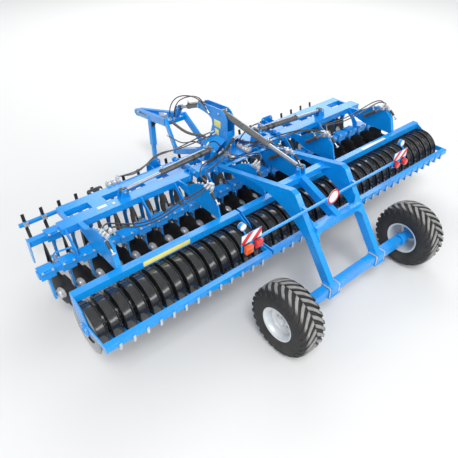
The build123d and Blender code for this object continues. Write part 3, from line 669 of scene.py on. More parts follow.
def makeScraperStraps(name):
    low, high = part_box(f"{name}_scraper_bar")
    back = low.y  # the tabs' rear faces
    bm = bmesh.new()
    nut = hexBolt(*strap["nut"])
    foot, head = (high.z - down for down in strap["down"])
    places = ringPlaces(name)
    for first, second in zip(places, places[1:]):
        x = (first + second) / 2
        half, thick = strap["wide"] / 2, strap["thick"]
        addBox(bm, (x - half, back - thick, foot), (x + half, back, head), 0, strap["edge"])
        for down in strap["nutsDown"]:
            addCopies(bm, nut, [axes((x, back - thick / 2, high.z - down), (0, -1, 0))])
    finishPiece(f"{name}_scraper_straps", bm, ["zincPlate"], bodyOf[name], 30)


for name in sides:
    makeRoller(name)
    makeRollerBearings(name)
    makeScraperStraps(name)
print("rollers made")

# discs
disc = {"pitch": 0.250, "radius": 0.275, "dish": 0.042, "thick": 0.006, "notch": 0.040, "notches": 8,
        "notchFrom": 0.205, "notchSharp": 0.6, "turn": 16, "hubZ": 0.480, "steps": 64, "onWing": 9,
        "reach": (0.030, 0.075, 0.120, 0.165, 0.205, 0.232, 0.255, 0.270, 0.275)}
# inner and centre count in pitches: the first disc of a wing, and the discs between the wings
discRows = {
    "rear": dict(hubY=axleY + 1.930, beamY=axleY + 1.960, armSide=-1, inner=3.5,
                 centre=(-2.5, -1.5, -0.5, 0.5, 1.5, 2.5)),
    "front": dict(hubY=axleY + 2.530, beamY=axleY + 2.560, armSide=1, inner=3.0, centre=(-2, -1, 0, 1, 2)),
}


def discSteps(name, row):
    side = sides[name]
    return [side * (row["inner"] + n) for n in range(disc["onWing"])] if side else row["centre"]


def discPlaces(name):
    places = []
    turn = radians(disc["turn"])
    for row in discRows.values():
        for step in discSteps(name, row):
            spot = (step * disc["pitch"], row["hubY"], disc["hubZ"])
            places.append(axes(spot, (row["armSide"] * cos(turn), -sin(turn), 0)))
    return places


def discMesh():
    radius, thick = disc["radius"], disc["thick"]
    dish = [(far, -disc["dish"] * (far / radius) ** 2) for far in disc["reach"]]
    profile = [(far, z + thick) for far, z in dish[:-1]] + [(radius, dish[-1][1] + thick / 2)]
    profile += list(reversed(dish[:-1])) + [(dish[0][0], dish[0][1] + thick)]
    bm = spun(profile, disc["steps"])
    start = disc["notchFrom"]
    for vert in bm.verts:
        far = vert.co.xy.length
        if far > start:
            scallop = max(0.0, cos(disc["notches"] * atan2(vert.co.y, vert.co.x))) ** disc["notchSharp"]
            edge = radius - disc["notch"] * scallop
            vert.co.xy *= (start + (far - start) * (edge - start) / (radius - start)) / far
    return template(bm)


# radius, height off the disc: the bearing housing and its cap
housing = ((0.0, 0.006), (0.066, 0.006), (0.068, 0.010), (0.068, 0.022), (0.060, 0.028), (0.060, 0.052),
           (0.056, 0.062), (0.050, 0.070), (0.036, 0.076), (0.030, 0.072), (0.0, 0.072))
# on the hollow side: a ring and the heads of its bolts
hubRing = ((0.0, -0.008), (0.066, -0.010), (0.070, -0.006), (0.070, 0.0), (0.0, 0.0))
hubBolts = {"count": 6, "outer": (0.062, 0.021), "inner": (0.050, -0.008), "bolt": (0.008, 0.010, 1.3)}


def makeDiscs(name):
    places = discPlaces(name)
    bm = bmesh.new()
    addCopies(bm, discMesh(), places)
    piece = finishPiece(f"{name}_dished_discs", bm, ["discSteel"], bodyOf[name], 30)
    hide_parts(f"{name}_discs")
    bm = bmesh.new()
    addCopies(bm, template(spun(housing, 28)), places)
    addCopies(bm, template(spun(hubRing, 24)), places)
    spots = []
    for key, flip in (("outer", Matrix.Identity(4)), ("inner", Matrix.Rotation(pi, 4, "X"))):
        far, out = hubBolts[key]
        for n in range(hubBolts["count"]):
            angle = 2 * pi * n / hubBolts["count"]
            spots.append(Matrix.Translation((far * cos(angle), far * sin(angle), out)) @ flip)
    addCopies(bm, hexBolt(*hubBolts["bolt"]), [place @ spot for place in places for spot in spots])
    piece = finishPiece(f"{name}_disc_bearings", bm, ["zincPlate"], bodyOf[name], 30)
    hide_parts(f"{name}_disc_hubs")


# clamp blocks: half sizes, the lips where their halves meet with their bolts, and the arms' bolts
block = {"offset": 0.110, "halfWide": 0.085, "half": 0.060, "z": 0.830, "lip": 0.020, "lipUp": 0.034,
         "lipThick": 0.014, "bolt": (0.011, 0.013, 1.4), "boltX": 0.058, "armBoltX": 0.0035,
         "armBoltY": 0.022, "armBoltDown": 0.045}


def blockPlaces(name):
    places = []
    for row in discRows.values():
        for step in discSteps(name, row):
            x = step * disc["pitch"] + row["armSide"] * block["offset"]
            places.append((x, row["beamY"], row["armSide"]))
    return places


def makeBlockTrim(name):
    bm = bmesh.new()
    bolt = hexBolt(*block["bolt"])
    wide, half, lip = block["halfWide"], block["half"], block["lip"]
    low, high = block["z"] + block["lipUp"], block["z"] + block["lipUp"] + block["lipThick"]
    for x, y, armSide in blockPlaces(name):
        for way in (-1, 1):
            near, far = sorted((y + way * half, y + way * (half + lip)))
            addBox(bm, (x - wide, near, low), (x + wide, far, high))
            for shift in (-block["boltX"], block["boltX"]):
                spot = (x + shift, y + way * (half + lip / 2), high)
                addCopies(bm, bolt, [Matrix.Translation(spot)], 1)
        # the arm's two bolts, through its clamp
        for shift in (-block["armBoltY"], block["armBoltY"]):
            spot = (x + armSide * block["armBoltX"], y + shift, block["z"] - half - block["armBoltDown"])
            addCopies(bm, bolt, [axes(spot, (armSide, 0, 0))], 1)
    finishPiece(f"{name}_block_lips", bm, ["frameBlue", "zincPlate"], bodyOf[name], 30)


for name in sides:
    makeDiscs(name)
    makeBlockTrim(name)
print("discs made")

# levelling tines ahead of the discs
tineBar = {
    "y": axleY + 3.220, "z": 0.650, "half": 0.0225, "end": 0.090, "wide": 0.044, "thick": 0.009,
    # the leaf's course from the bar, as y and z
    "course": ((0.056, 0.122), (0.051, 0.090), (0.043, 0.055), (0.036, 0.022), (0.0295, -0.010),
               (0.020, -0.050), (0.006, -0.095), (-0.013, -0.142), (-0.035, -0.190), (-0.055, -0.228),
               (-0.070, -0.258)),
    "carrierFront": axleY + 2.600, "carrierZ": 0.830, "edge": 0.004,
    # a carrying arm's half thickness, and its outline's heights at the beam and at the bar
    "armHalf": 0.010, "armAtBeam": (0.025, -0.030), "armAtBar": (-0.020, -0.015, 0.015),
}
# the clamp of a tine: two plates, and two bows with their nuts
tineClamp = {"half": 0.030, "plate": 0.006, "edge": 0.002, "front": 0.014, "bowX": 0.025, "bowOff": 0.005,
             "bow": 0.005, "nut": (0.0085, 0.012, 1.3)}


def tineMesh():
    bm = bmesh.new()
    verts = [bm.verts.new((-tineBar["wide"] / 2, y, z)) for y, z in tineBar["course"]]
    edges = [bm.edges.new(pair) for pair in zip(verts, verts[1:])]
    made = bmesh.ops.extrude_edge_only(bm, edges=edges)
    moved = [item for item in made["geom"] if isinstance(item, bmesh.types.BMVert)]
    bmesh.ops.translate(bm, vec=(tineBar["wide"], 0, 0), verts=moved)
    bmesh.ops.recalc_face_normals(bm, faces=bm.faces)
    bmesh.ops.solidify(bm, geom=bm.faces[:], thickness=tineBar["thick"])
    bmesh.ops.recalc_face_normals(bm, faces=bm.faces)
    return template(bm)


def tineClampMesh():
    half, wide, plate = tineBar["half"], tineClamp["half"], tineClamp["plate"]
    front, off = tineClamp["front"], tineClamp["bowOff"]
    bm = bmesh.new()
    addBox(bm, (-wide, -half - plate, -wide), (wide, -half, wide), round=tineClamp["edge"])
    nut = hexBolt(*tineClamp["nut"])
    for x in (-tineClamp["bowX"], tineClamp["bowX"]):
        for z in (half + off, -half - off):
            addRod(bm, (x, -half - 2 * plate, z), (x, half + front, z), tineClamp["bow"], steps=8)
            addCopies(bm, nut, [axes((x, -half - plate, z), (0, -1, 0))])
    addBox(bm, (-wide, half + front, -wide), (wide, half + front + plate, wide), round=tineClamp["edge"])
    return template(bm)


def makeTineBar(name):
    y, z, half = tineBar["y"], tineBar["z"], tineBar["half"]
    places = [step * disc["pitch"] for step in discSteps(name, discRows["front"])]
    bm = bmesh.new()
    addBox(bm, (min(places) - tineBar["end"], y - half, z - half),
           (max(places) + tineBar["end"], y + half, z + half), round=tineBar["edge"])
    supports = sorted(place + block["offset"] + disc["pitch"] / 2 for place in places)
    front, top = tineBar["carrierFront"], tineBar["carrierZ"]
    thick = tineBar["armHalf"]
    high, low = (top + up for up in tineBar["armAtBeam"])
    toe, under, over = (z + up for up in tineBar["armAtBar"])
    for x in (supports[1], supports[-3]):
        outline = ((front, high), (front, low), (y - thick, toe), (y, under), (y, over))
        addPlate(bm, outline, x - thick, x + thick)
    spots = [Matrix.Translation((x, y, z)) for x in places]
    addCopies(bm, tineMesh(), spots, 1)
    addCopies(bm, tineClampMesh(), spots, 2)
    piece = finishPiece(f"{name}_spring_tines", bm, ["frameBlue", "blackIron", "zincPlate"], bodyOf[name],
                        30)
    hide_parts(f"{name}_tine_bar")


for name in sides:
    makeTineBar(name)
print("tine bars made")


# cylinders
def eyeRing(inner, outer, half, edge=0.003):
    return ((inner, -half), (outer - edge, -half), (outer, edge - half), (outer, half - edge),
            (outer - edge, half), (inner, half), (inner, -half))


# pins are across the unit vector given; part is the barrel's share of the way from pin to pin
foldLook = dict(across=(0, 1, 0), radius=0.042, rod=0.022, pin=0.016, part=0.60, gap=0.050,
                finish="barrelGrey", bands=(0.20, 0.34))
cylinders = {
    "left_fold": dict(foldLook, base=(-0.425, 2.240, 1.330), eye=(-1.786, 2.240, 1.250),
                      carriers=("frame", "left_wing")),
    "right_fold": dict(foldLook, base=(0.425, 2.240, 1.330), eye=(1.786, 2.240, 1.250),
                       carriers=("frame", "right_wing")),
    "lift": dict(base=(0, 2.490, 1.650), eye=(0, 1.005, 1.440), across=(1, 0, 0), radius=0.046,
                 rod=0.028, pin=0.020, part=0.62, gap=0.055, carriers=("frame", "chassis"),
                 finish="rodGrey", bands=()),
    "level": dict(base=(0, 2.952, 1.610), eye=(0, 3.520, 1.375), across=(1, 0, 0), radius=0.040,
                  rod=0.022, pin=0.020, part=0.62, gap=0.055, carriers=("frame", "drawbar"),
                  finish="barrelGrey", bands=()),
}
# what every barrel has: its gland, the foot over its eye, grooves, the rod's play, a pipe on ports
barrel = {"offPin": 0.018, "gland": 0.055, "foot": 0.050, "groove": 0.003, "play": 0.0006, "bore": 0.030,
          "eyeWall": 0.022, "bandHalf": 0.014, "bandHigh": 0.003, "pipe": 0.006, "pipeFrom": 0.075,
          "pipeEnd": 0.010}
rodEnd = {"inside": 0.7, "short": 0.020, "neck": (0.012, 0.008, -0.004), "wider": (0.004, 0.008)}
# half the gap between the cheeks at a rod's eye, and how thick the cheeks are
clevis = {"eyeGap": 0.032, "eyeLess": 0.008, "baseCheek": 0.016, "towerCheek": 0.015, "rodCheek": 0.014}
# along its way, from one radius to the next: the boss, the nut and the ferrule
port = ((-0.010, 0.016, 0.016, 16), (0.014, 0.028, 0.0135, 6), (0.026, 0.046, 0.0095, 12))


def inScene(place):
    x, y, z = place
    return Vector((x, axleY + y, z))


def addPort(bm, place, way, material=1):
    # a boss with its nut and ferrule, standing along way
    place, way = Vector(place), Vector(way)
    for part, (start, end, radius, steps) in enumerate(port):
        addRod(bm, place + way * start, place + way * end, radius, material if part else 0, steps)


def makeCylinder(name, row):
    start, end = inScene(row["base"]), inScene(row["eye"])
    along = (end - start).normalized()
    far = (end - start).length
    across = Vector(row["across"])
    up = along.cross(across).normalized()
    up = up if up.z > 0 else -up
    pin, radius, rod = row["pin"], row["radius"], row["rod"]
    clear, mouth = pin + barrel["offPin"], far * row["part"]
    gland, groove, play = barrel["gland"], barrel["groove"], rod + barrel["play"]
    bore, foot = clear + barrel["bore"], clear + barrel["foot"]
    place = axes(start, along, up)
    bm = bmesh.new()
    profile = ((0.0, clear), (radius * 0.80, clear), (radius, clear + 0.010), (radius, foot),
               (radius - groove, foot + groove), (radius - groove, mouth - gland),
               (radius, mouth - gland + groove), (radius, mouth - 0.006), (radius - 0.005, mouth),
               (rod + 0.003, mouth), (play, mouth - 0.004), (play, bore), (0.0, bore))
    addSpun(bm, profile, 40, place)
    addSpun(bm, eyeRing(pin + 0.0004, pin + barrel["eyeWall"], row["gap"] - 0.003), 32,
            axes(start, across, along))
    for distance in (bore, mouth - gland / 2):
        addPort(bm, start + along * distance + up * (radius - groove), up)
    half, low, high = barrel["bandHalf"], radius - 0.002, radius + barrel["bandHigh"]
    for share in row["bands"]:
        middle = clear + (mouth - clear) * share
        band = ((low, middle - half), (high, middle - half), (high, middle + half), (low, middle + half))
        addSpun(bm, band, 40, place, 2)
    # a steel pipe along the barrel, from its base port to its mouth port
    pipe = up * (radius + barrel["pipe"])
    addRod(bm, start + along * (clear + barrel["pipeFrom"]) + pipe,
           start + along * (mouth - gland - barrel["pipeEnd"]) + pipe, barrel["pipe"], 1, 10)
    piece = finishPiece(f"{name}_barrel_turned", bm, [row["finish"], "zincPlate", "blackIron"],
                        f"{name}_barrel", 30)
    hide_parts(f"{name}_barrel")

    bm = bmesh.new()
    inside, outside = mouth * rodEnd["inside"], far - clear - rodEnd["short"]
    addSpun(bm, ((0.0, inside), (rod, inside), (rod, outside), (0.0, outside)), 32, place)
    first, second, last = (far - clear - back for back in rodEnd["neck"])
    narrow, wide = (rod + more for more in rodEnd["wider"])
    addSpun(bm, ((0.0, first), (narrow, first), (wide, second), (wide, last), (0.0, last)), 24, place, 1)
    addSpun(bm, eyeRing(pin - 0.0005, pin + barrel["eyeWall"], clevis["eyeGap"] - clevis["eyeLess"]), 32,
            axes(end, across, along), 1)
    pinHalf = across * (clevis["eyeGap"] - 0.001)
    addRod(bm, end - pinHalf, end + pinHalf, pin, 2, 20)
    piece = finishPiece(f"{name}_rod_turned", bm, ["chromeRod", "barrelGrey", "zincPlate"], f"{name}_rod",
                        30)
    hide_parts(f"{name}_rod")


# the head of a pin: radius, height off its cheek
pinHead = ((0.0, 0.0), (0.030, 0.0), (0.032, 0.003), (0.030, 0.010), (0.018, 0.012), (0.0, 0.012))
pinBolt = {"bolt": (0.010, 0.010, 1.4), "out": 0.011}
# the frame's other pins, on both sides: place, way of the pin, half length, size of the heads
framePins = (((0.440, 2.050, 1.120), (1, 0, 0), 0.065, 1.3), ((0.250, 3.330, 0.800), (1, 0, 0), 0.045, 1.0),
             ((0.800, 2.3515, 1.175), (0, 1, 0), 0.2235, 1.0))


def addPinHeads(bm, place, across, half, size=1.0):
    head, bolt = template(spun(pinHead, 24)), hexBolt(*pinBolt["bolt"])
    for way in (-1, 1):
        out = Vector(across) * way
        spot = axes(inScene(place) + out * half, out, (0.3, 0.5, 0.8))
        spot = spot @ Matrix.Diagonal((size, size, 1, 1))
        addCopies(bm, head, [spot], 0)
        addCopies(bm, bolt, [spot @ Matrix.Translation((0, 0, pinBolt["out"]))], 1)


def makePins():
    # the heads of the pins, on each body that holds them
    heads = {body: bmesh.new() for body in ("frame", "left_wing", "right_wing", "drawbar", "chassis")}
    for name, row in cylinders.items():
        baseBody, eyeBody = row["carriers"]
        cheek = clevis["baseCheek"] if "fold" in name else clevis["towerCheek"]
        rodCheek = clevis["baseCheek"] if "fold" in name else clevis["rodCheek"]
        addPinHeads(heads[baseBody], row["base"], row["across"], row["gap"] + cheek)
        addPinHeads(heads[eyeBody], row["eye"], row["across"], clevis["eyeGap"] + rodCheek)
    for side in (-1, 1):
        for (x, y, z), across, half, size in framePins:
            addPinHeads(heads["frame"], (side * x, y, z), across, half, size)
    for body, bm in heads.items():
        finishPiece(f"{body}_pin_heads", bm, ["frameBlue", "zincPlate"], body, 30)


for name, row in cylinders.items():
    makeCylinder(name, row)
makePins()
print("cylinders made")

# the rollers' depth cylinders, beside their arms; places are y from the axle, and z
depth = {"start": (1.800, 1.130), "mouth": (1.590, 1.290), "eye": (1.500, 1.362), "radius": 0.032,
         "rod": 0.014, "gland": 0.037, "foot": 0.030, "groove": 0.003, "portShare": 0.82,
         "portOff": (0, 0.019, 0.025), "portWay": (0, 0.606, 0.795)}
depthEye = {"x": 0.025, "y": 0.030, "down": 0.024, "up": 0.026, "edge": 0.004}
armPlaces = {"left": ((-1.045, -1.003), (-2.430, -2.368)), "centre": ((-0.300, -0.258), (0.300, 0.258)),
             "right": ((1.045, 1.003), (2.430, 2.368))}  # each arm's middle, and its cylinder's


def makeDepthCylinders(name):
    bm = bmesh.new()
    radius, rod, gland, foot = depth["radius"], depth["rod"], depth["gland"], depth["foot"]
    groove, play = depth["groove"], rod + 0.0005
    for arm, x in armPlaces[name]:
        start, mouth, eye = (inScene((x, *depth[key])) for key in ("start", "mouth", "eye"))
        along = mouth - start
        far = along.length
        profile = ((0.0, 0.0), (radius * 0.9, 0.0), (radius, 0.006), (radius, foot),
                   (radius - groove, foot + groove), (radius - groove, far - gland - groove),
                   (radius, far - gland), (radius, far - 0.004), (radius - 0.004, far), (play, far),
                   (play, far - foot), (0.0, far - foot))
        addSpun(bm, profile, 28, axes(start, along, (1, 0, 0)), 2)
        addRod(bm, start + along * 0.6, eye, rod, 1, 20)
        half = Vector((depthEye["x"], depthEye["y"], 0))
        addBox(bm, eye - half - Vector((0, 0, depthEye["down"])), eye + half + Vector((0, 0, depthEye["up"])),
               0, depthEye["edge"])
        addPort(bm, start + along * depth["portShare"] + Vector(depth["portOff"]), depth["portWay"])
    piece = finishPiece(f"{name}_depth_cylinders_turned", bm, ["zincPlate", "chromeRod", "barrelGrey"],
                        bodyOf[name], 30)
    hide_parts(f"{name}_depth_cylinders")


# on top of each arm: a valve block with two elbows, a small ram down the hump, three nuts
fittings = {
    "half": 0.024, "y": (1.425, 1.545), "z": (1.338, 1.378), "edge": 0.003, "nut": (0.012, 0.014, 1.15),
    "elbowY": (1.450, 1.500), "elbow": ((0, 0, 0.010), (0, 0, 0.030), (-0.050, -0.020, 0.034)),
    "elbowNut": (-0.046, -0.019, 0.034), "ram": ((1.415, 1.330), (1.290, 1.235)), "ramX": 0.030,
    "ramLong": 0.095, "ramRadius": 0.019, "rod": 0.009, "bracket": (-0.022, 0.018, 0.012),
    "nuts": ((1.620, 1.340), (1.685, 1.316), (1.745, 1.290)),
}


def makeArmFittings(name):
    bm = bmesh.new()
    nut = hexBolt(*fittings["nut"])
    half, (back, front), (under, over) = fittings["half"], fittings["y"], fittings["z"]
    foot, knee, tip = (Vector(place) for place in fittings["elbow"])
    for arm, x in armPlaces[name]:
        addBox(bm, inScene((arm - half, back, under)), inScene((arm + half, front, over)), 0,
               fittings["edge"])
        for y in fittings["elbowY"]:
            top = inScene((arm, y, over))
            addCopies(bm, nut, [Matrix.Translation(top)], 0)
            addRod(bm, top + foot, top + knee, 0.008, 0, 12)
            addRod(bm, top + knee, top + tip, fittings["rod"], 0, 12)
            addCopies(bm, nut, [axes(top + Vector(fittings["elbowNut"]), (tip.x, tip.y, 0))], 0)
        out = 1 if arm > x else -1  # from the cylinder towards the arm
        start, end = (inScene((arm + out * fittings["ramX"], *place)) for place in fittings["ram"])
        along = (end - start).normalized()
        addRod(bm, start, start + along * fittings["ramLong"], fittings["ramRadius"], 1, 20)
        addRod(bm, start + along * (fittings["ramLong"] - 0.005), end, fittings["rod"], 2, 14)
        low, high, radius = fittings["bracket"]
        for spot in (start, end):
            addRod(bm, spot + Vector((out * low, 0, 0)), spot + Vector((out * high, 0, 0)), radius, 0, 16)
        for y, z in fittings["nuts"]:
            addCopies(bm, nut, [Matrix.Translation(inScene((arm, y, z)))], 0)
    finishPiece(f"{name}_arm_fittings", bm, ["zincPlate", "blackIron", "chromeRod"], bodyOf[name], 30)


for name in sides:
    makeDepthCylinders(name)
    makeArmFittings(name)
print("depth cylinders made")

# light boards with their hatched plates, and the lamps under these
boards = {"back": axleY + 0.460, "x": (1.165, 1.445), "z": (1.225, 1.440), "hatch": (1.322, 1.438),
          "stripe": 0.058, "thin": 0.002, "margin": 0.006}
lamps = {
    "z": 1.2715, "high": 0.092, "over": 0.001, "edge": 0.006, "bar": (0.010, 0.002),
    # x of the middle, width, depth, lens, round or not
    "rows": ((-1.230, 0.098, 0.050, 1, False), (-1.380, 0.098, 0.065, 2, False),
             (1.230, 0.092, 0.050, 1, True), (1.380, 0.092, 0.065, 1, True)),
}


def makeHatch(name, side):
    low, high = boards["x"]
    first, last = (low, high) if side > 0 else (-high, -low)
    foot, head = boards["hatch"]
    middle = ((first + last) / 2, boards["back"] - boards["thin"], (foot + head) / 2)
    bm = bmesh.new()
    size = (last - first - boards["margin"], boards["thin"], head - foot)
    bmesh.ops.create_cube(bm, size=1, matrix=Matrix.Translation(middle) @ Matrix.Diagonal((*size, 1)))
    way = Vector((1, 0, -1)).normalized()
    start, end = Vector((first, 0, head)).dot(way), Vector((last, 0, foot)).dot(way)
    count = int((end - start) / boards["stripe"]) + 1
    for n in range(count + 1):
        bmesh.ops.bisect_plane(bm, geom=bm.verts[:] + bm.edges[:] + bm.faces[:], dist=1e-6,
                               plane_co=way * (start + n * boards["stripe"]), plane_no=way)
    for face in bm.faces:
        face.material_index = floor((face.calc_center_median().dot(way) - start) / boards["stripe"]) % 2
    finishPiece(f"{name}_hatched_plate", bm, ["signWhite", "signRed"], "chassis", 30)


def addRoundLamp(bm, x, half, deep, lens):
    case = ((0.0, 0.0), (half, 0.0), (half, deep * 0.3), (half - 0.004, deep * 0.36), (0.0, deep * 0.36))
    glass = ((0.0, deep * 0.34), (half - 0.001, deep * 0.34), (half - 0.001, deep - 0.012),
             (half - 0.010, deep), (0.0, deep))
    place = axes((x, boards["back"], lamps["z"]), (0, -1, 0))
    addSpun(bm, case, 40, place)
    addSpun(bm, glass, 40, place, lens)


def addSquareLamp(bm, x, half, deep, lens):
    # a case, the lens over it, and the dark bar across the lens
    back, z, high, over, edge = boards["back"], lamps["z"], lamps["high"] / 2, lamps["over"], lamps["edge"]
    inset, bar = lamps["bar"]
    addBox(bm, (x - half, back - deep + 0.016, z - high), (x + half, back, z + high), 0, edge)
    addBox(bm, (x - half - over, back - deep, z - high - over),
           (x + half + over, back - deep * 0.30, z + high + over), lens, edge)
    addBox(bm, (x - half + inset, back - deep - 0.0015, z - bar),
           (x + half - inset, back - deep + 0.004, z + bar), 0, 0.0008)


def makeLamps():
    bm = bmesh.new()
    for x, wide, deep, lens, isRound in lamps["rows"]:
        addLamp = addRoundLamp if isRound else addSquareLamp
        addLamp(bm, x, wide / 2, deep, lens)
    piece = finishPiece("lamp_set", bm, ["blackIron", "lampRed", "lampAmber"], "chassis", 30)
    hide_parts("rear_lamps")


# the round sign: radius, distance behind the board's front face
sign = {"plate": ((0.0, 0.0), (0.100, 0.0), (0.100, 0.004), (0.0, 0.004)),
        "rim": ((0.078, 0.004), (0.0785, 0.0052), (0.0995, 0.0052), (0.100, 0.004), (0.078, 0.004)),
        "bolt": (0.004, 0.003, 1.3), "bolts": (0.060, 0.004)}  # how far out they are, how far behind
marker = {"x": 1.380, "y": 0.530, "z": 1.500, "radius": 0.042, "half": 0.025, "foot": (0.018, 0.040),
          "knee": (0, 0.010, 0.050), "bend": (0, 0.008, 0.046), "stalk": 0.008}


def makeSign():
    low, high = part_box("round_sign")
    place = axes((0, high.y, (low.z + high.z) / 2), (0, -1, 0))
    bm = bmesh.new()
    addSpun(bm, sign["plate"], 64, place, 0)
    addSpun(bm, sign["rim"], 64, place, 1)
    far, behind = sign["bolts"]
    for angle in (pi / 4, pi * 3 / 4, -pi / 4, -pi * 3 / 4):
        spot = Matrix.Translation((far * cos(angle), far * sin(angle), behind))
        addCopies(bm, hexBolt(*sign["bolt"]), [place @ spot], 2)
    piece = finishPiece("round_sign_plate", bm, ["signWhite", "signRed", "zincPlate"], "chassis",
                        30)
    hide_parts("round_sign")


def makeMarkers():
    bm = bmesh.new()
    radius, half = marker["radius"], marker["half"]
    for side in (-1, 1):
        middle = inScene((side * marker["x"], marker["y"], marker["z"]))
        case = ((0.0, -half), (radius - 0.006, -half), (radius, 0.006 - half), (radius, half - 0.008),
                (radius - 0.003, half - 0.006), (0.0, half - 0.006))
        lens = ((0.0, half - 0.007), (radius - 0.006, half - 0.007), (radius - 0.007, half - 0.002),
                (radius - 0.014, half), (0.0, half))
        rim = ((radius - 0.006, half - 0.008), (radius, half - 0.008), (radius, half - 0.001),
               (radius - 0.006, half - 0.001), (radius - 0.006, half - 0.008))
        for way in (-1, 1):
            place = axes(middle, (0, way, 0))
            addSpun(bm, lens, 32, place, 1)
            addSpun(bm, rim, 32, place, 2)
        addSpun(bm, case, 32, axes(middle, (0, -1, 0)), 0)
        forward, down = marker["foot"]
        foot = Vector((side * marker["x"], boards["back"] + forward, boards["z"][1] - down))
        addRod(bm, foot, foot + Vector(marker["knee"]), marker["stalk"], 0, 12)
        addRod(bm, foot + Vector(marker["bend"]), middle - Vector((0, 0, radius - 0.004)), marker["stalk"],
               0, 12)
    finishPiece("round_markers", bm, ["frameBlue", "signWhite", "zincPlate"], "chassis", 30)


for name, side in (("left", -1), ("right", 1)):
    makeHatch(name, side)
makeLamps()
makeSign()
makeMarkers()
print("lights made")

# blank plates where the machine carries labels, and a thin white strip on the right roller beam's top:
# corners low and high, as x, y from the axle, z
labels = {
    "left_beam_strip": ("left_wing", "labelYellow", (-2.190, 1.1935, 0.965), (-1.570, 1.1950, 1.030)),
    # a thin white strip along the rear half of the right roller beam's top face
    "right_beam_strip": ("right_wing", "signWhite", (1.590, 1.200, 1.040), (2.140, 1.250, 1.0415)),
    "left_rail_plate": ("left_wing", "signWhite", (-2.150, 2.214, 1.150), (-2.030, 2.262, 1.1512)),
    "left_rail_square": ("left_wing", "labelYellow", (-1.958, 2.200, 1.150), (-1.925, 2.233, 1.1512)),
    "tower_lower_plate": ("frame", "labelYellow", (-0.0718, 2.500, 1.318), (-0.0702, 2.585, 1.402)),
    "tower_upper_plate": ("frame", "labelYellow", (-0.0718, 2.456, 1.434), (-0.0702, 2.596, 1.539)),
}


def makeLabels():
    for name, (body, material, low, high) in labels.items():
        bm = bmesh.new()
        addBox(bm, inScene(low), inScene(high), 0, 0.0004)
        finishPiece(name, bm, [material], body, 30)


# the drawbar's right tube, and the blank plate on its inner side
tube = {"start": (0.020, 4.790, 0.870), "end": (0.175, 3.680, 1.120), "half": 0.035}
tubePlate = {"share": 0.58, "high": 0.072, "long": 0.210, "thin": 0.0012}


def makeTubePlate():
    start, end = inScene(tube["start"]), inScene(tube["end"])
    along = (end - start).normalized()
    inward = along.cross(Vector((0, 0, 1))).normalized()
    inward = inward if inward.x < 0 else -inward
    high, far, thin = tubePlate["high"] / 2, tubePlate["long"] / 2, tubePlate["thin"] / 2
    part = bmesh.new()
    addBox(part, (-high, -thin, -far), (high, thin, far))
    bm = bmesh.new()
    middle = start.lerp(end, tubePlate["share"]) + inward * (tube["half"] + thin)
    addCopies(bm, template(part), [axes(middle, along)], 0)
    finishPiece("drawbar_plate", bm, ["signWhite"], "drawbar", 30)


makeLabels()
makeTubePlate()

# small pieces of the frame
plates = {"x": (0.950, 1.170), "y": (2.688, 2.700), "z": (1.000, 1.200), "corner": 0.045,
          "bolt": (0.010, 0.012, 1.4), "boltX": 0.030, "boltZ": (1.035, 1.165),
          # the stays behind it: y at the rail, heights there and at the plate
          "stayX": 0.050, "stayHalf": 0.005, "rail": 2.575, "stayZ": (1.145, 1.070, 1.040, 1.160)}
bolts = {"axleX": 0.440, "legX": 0.079, "y": 0.066, "z": (0.352, 0.504), "radius": 0.009, "corner": 0.012,
         "nut": (0.013, 0.012, 1.3), "plate": (0.018, 0.012, 0.024), "edge": 0.002}


def roundedOutline(low, high, corner, steps=5):
    # a rectangle with round corners, as pairs
    outline = []
    middles = ((high[0] - corner, high[1] - corner), (low[0] + corner, high[1] - corner),
               (low[0] + corner, low[1] + corner), (high[0] - corner, low[1] + corner))
    for quarter, (first, second) in enumerate(middles):
        for n in range(steps + 1):
            angle = pi / 2 * (quarter + n / steps)
            outline.append((first + corner * cos(angle), second + corner * sin(angle)))
    return outline


def makeFrontPlates(name, side):
    first, last = sorted((side * plates["x"][0], side * plates["x"][1]))
    low, high = plates["y"]
    bm = bmesh.new()
    outline = roundedOutline((first, plates["z"][0]), (last, plates["z"][1]), plates["corner"])
    addPlate(bm, outline, axleY + low, axleY + high, 0, "y")
    rail, (a, b, c, d) = axleY + plates["rail"], plates["stayZ"]
    stay = ((rail, a), (rail, b), (axleY + low, c), (axleY + low, d))
    for x in (first + plates["stayX"], last - plates["stayX"]):
        addPlate(bm, stay, x - plates["stayHalf"], x + plates["stayHalf"])
    bolt = hexBolt(*plates["bolt"])
    for x in (first + plates["boltX"], last - plates["boltX"]):
        for z in plates["boltZ"]:
            addCopies(bm, bolt, [axes((x, axleY + low, z), (0, -1, 0))], 1)
    finishPiece(f"{name}_front_plate", bm, ["frameBlue", "zincPlate"], f"{name}_wing", 30)


def makeAxleBolts():
    # two bows over the axle at each arm, through a plate under it
    bm = bmesh.new()
    low, high = bolts["z"]
    radius, reach, corner = bolts["radius"], bolts["y"], bolts["corner"]
    more, under, over = bolts["plate"]
    nut = hexBolt(*bolts["nut"])
    course = ((-reach, low), (-reach, high - corner), (corner - reach, high), (reach - corner, high),
              (reach, high - corner), (reach, low))
    for side in (-1, 1):
        middle = side * bolts["axleX"]
        for x in (middle - bolts["legX"], middle + bolts["legX"]):
            for (firstY, firstZ), (lastY, lastZ) in zip(course, course[1:]):
                addRod(bm, inScene((x, firstY, firstZ)), inScene((x, lastY, lastZ)), radius, 0, 14)
            for y in (-reach, reach):
                addCopies(bm, nut, [axes(inScene((x, y, low + under)), (0, 0, -1), (1, 0, 0))], 0)
        wide, deep = bolts["legX"] + more, reach + more
        addBox(bm, inScene((middle - wide, -deep, low + under)), inScene((middle + wide, deep, low + over)),
               1, bolts["edge"])
    finishPiece("axle_bolts", bm, ["zincPlate", "frameBlue"], "chassis", 30)


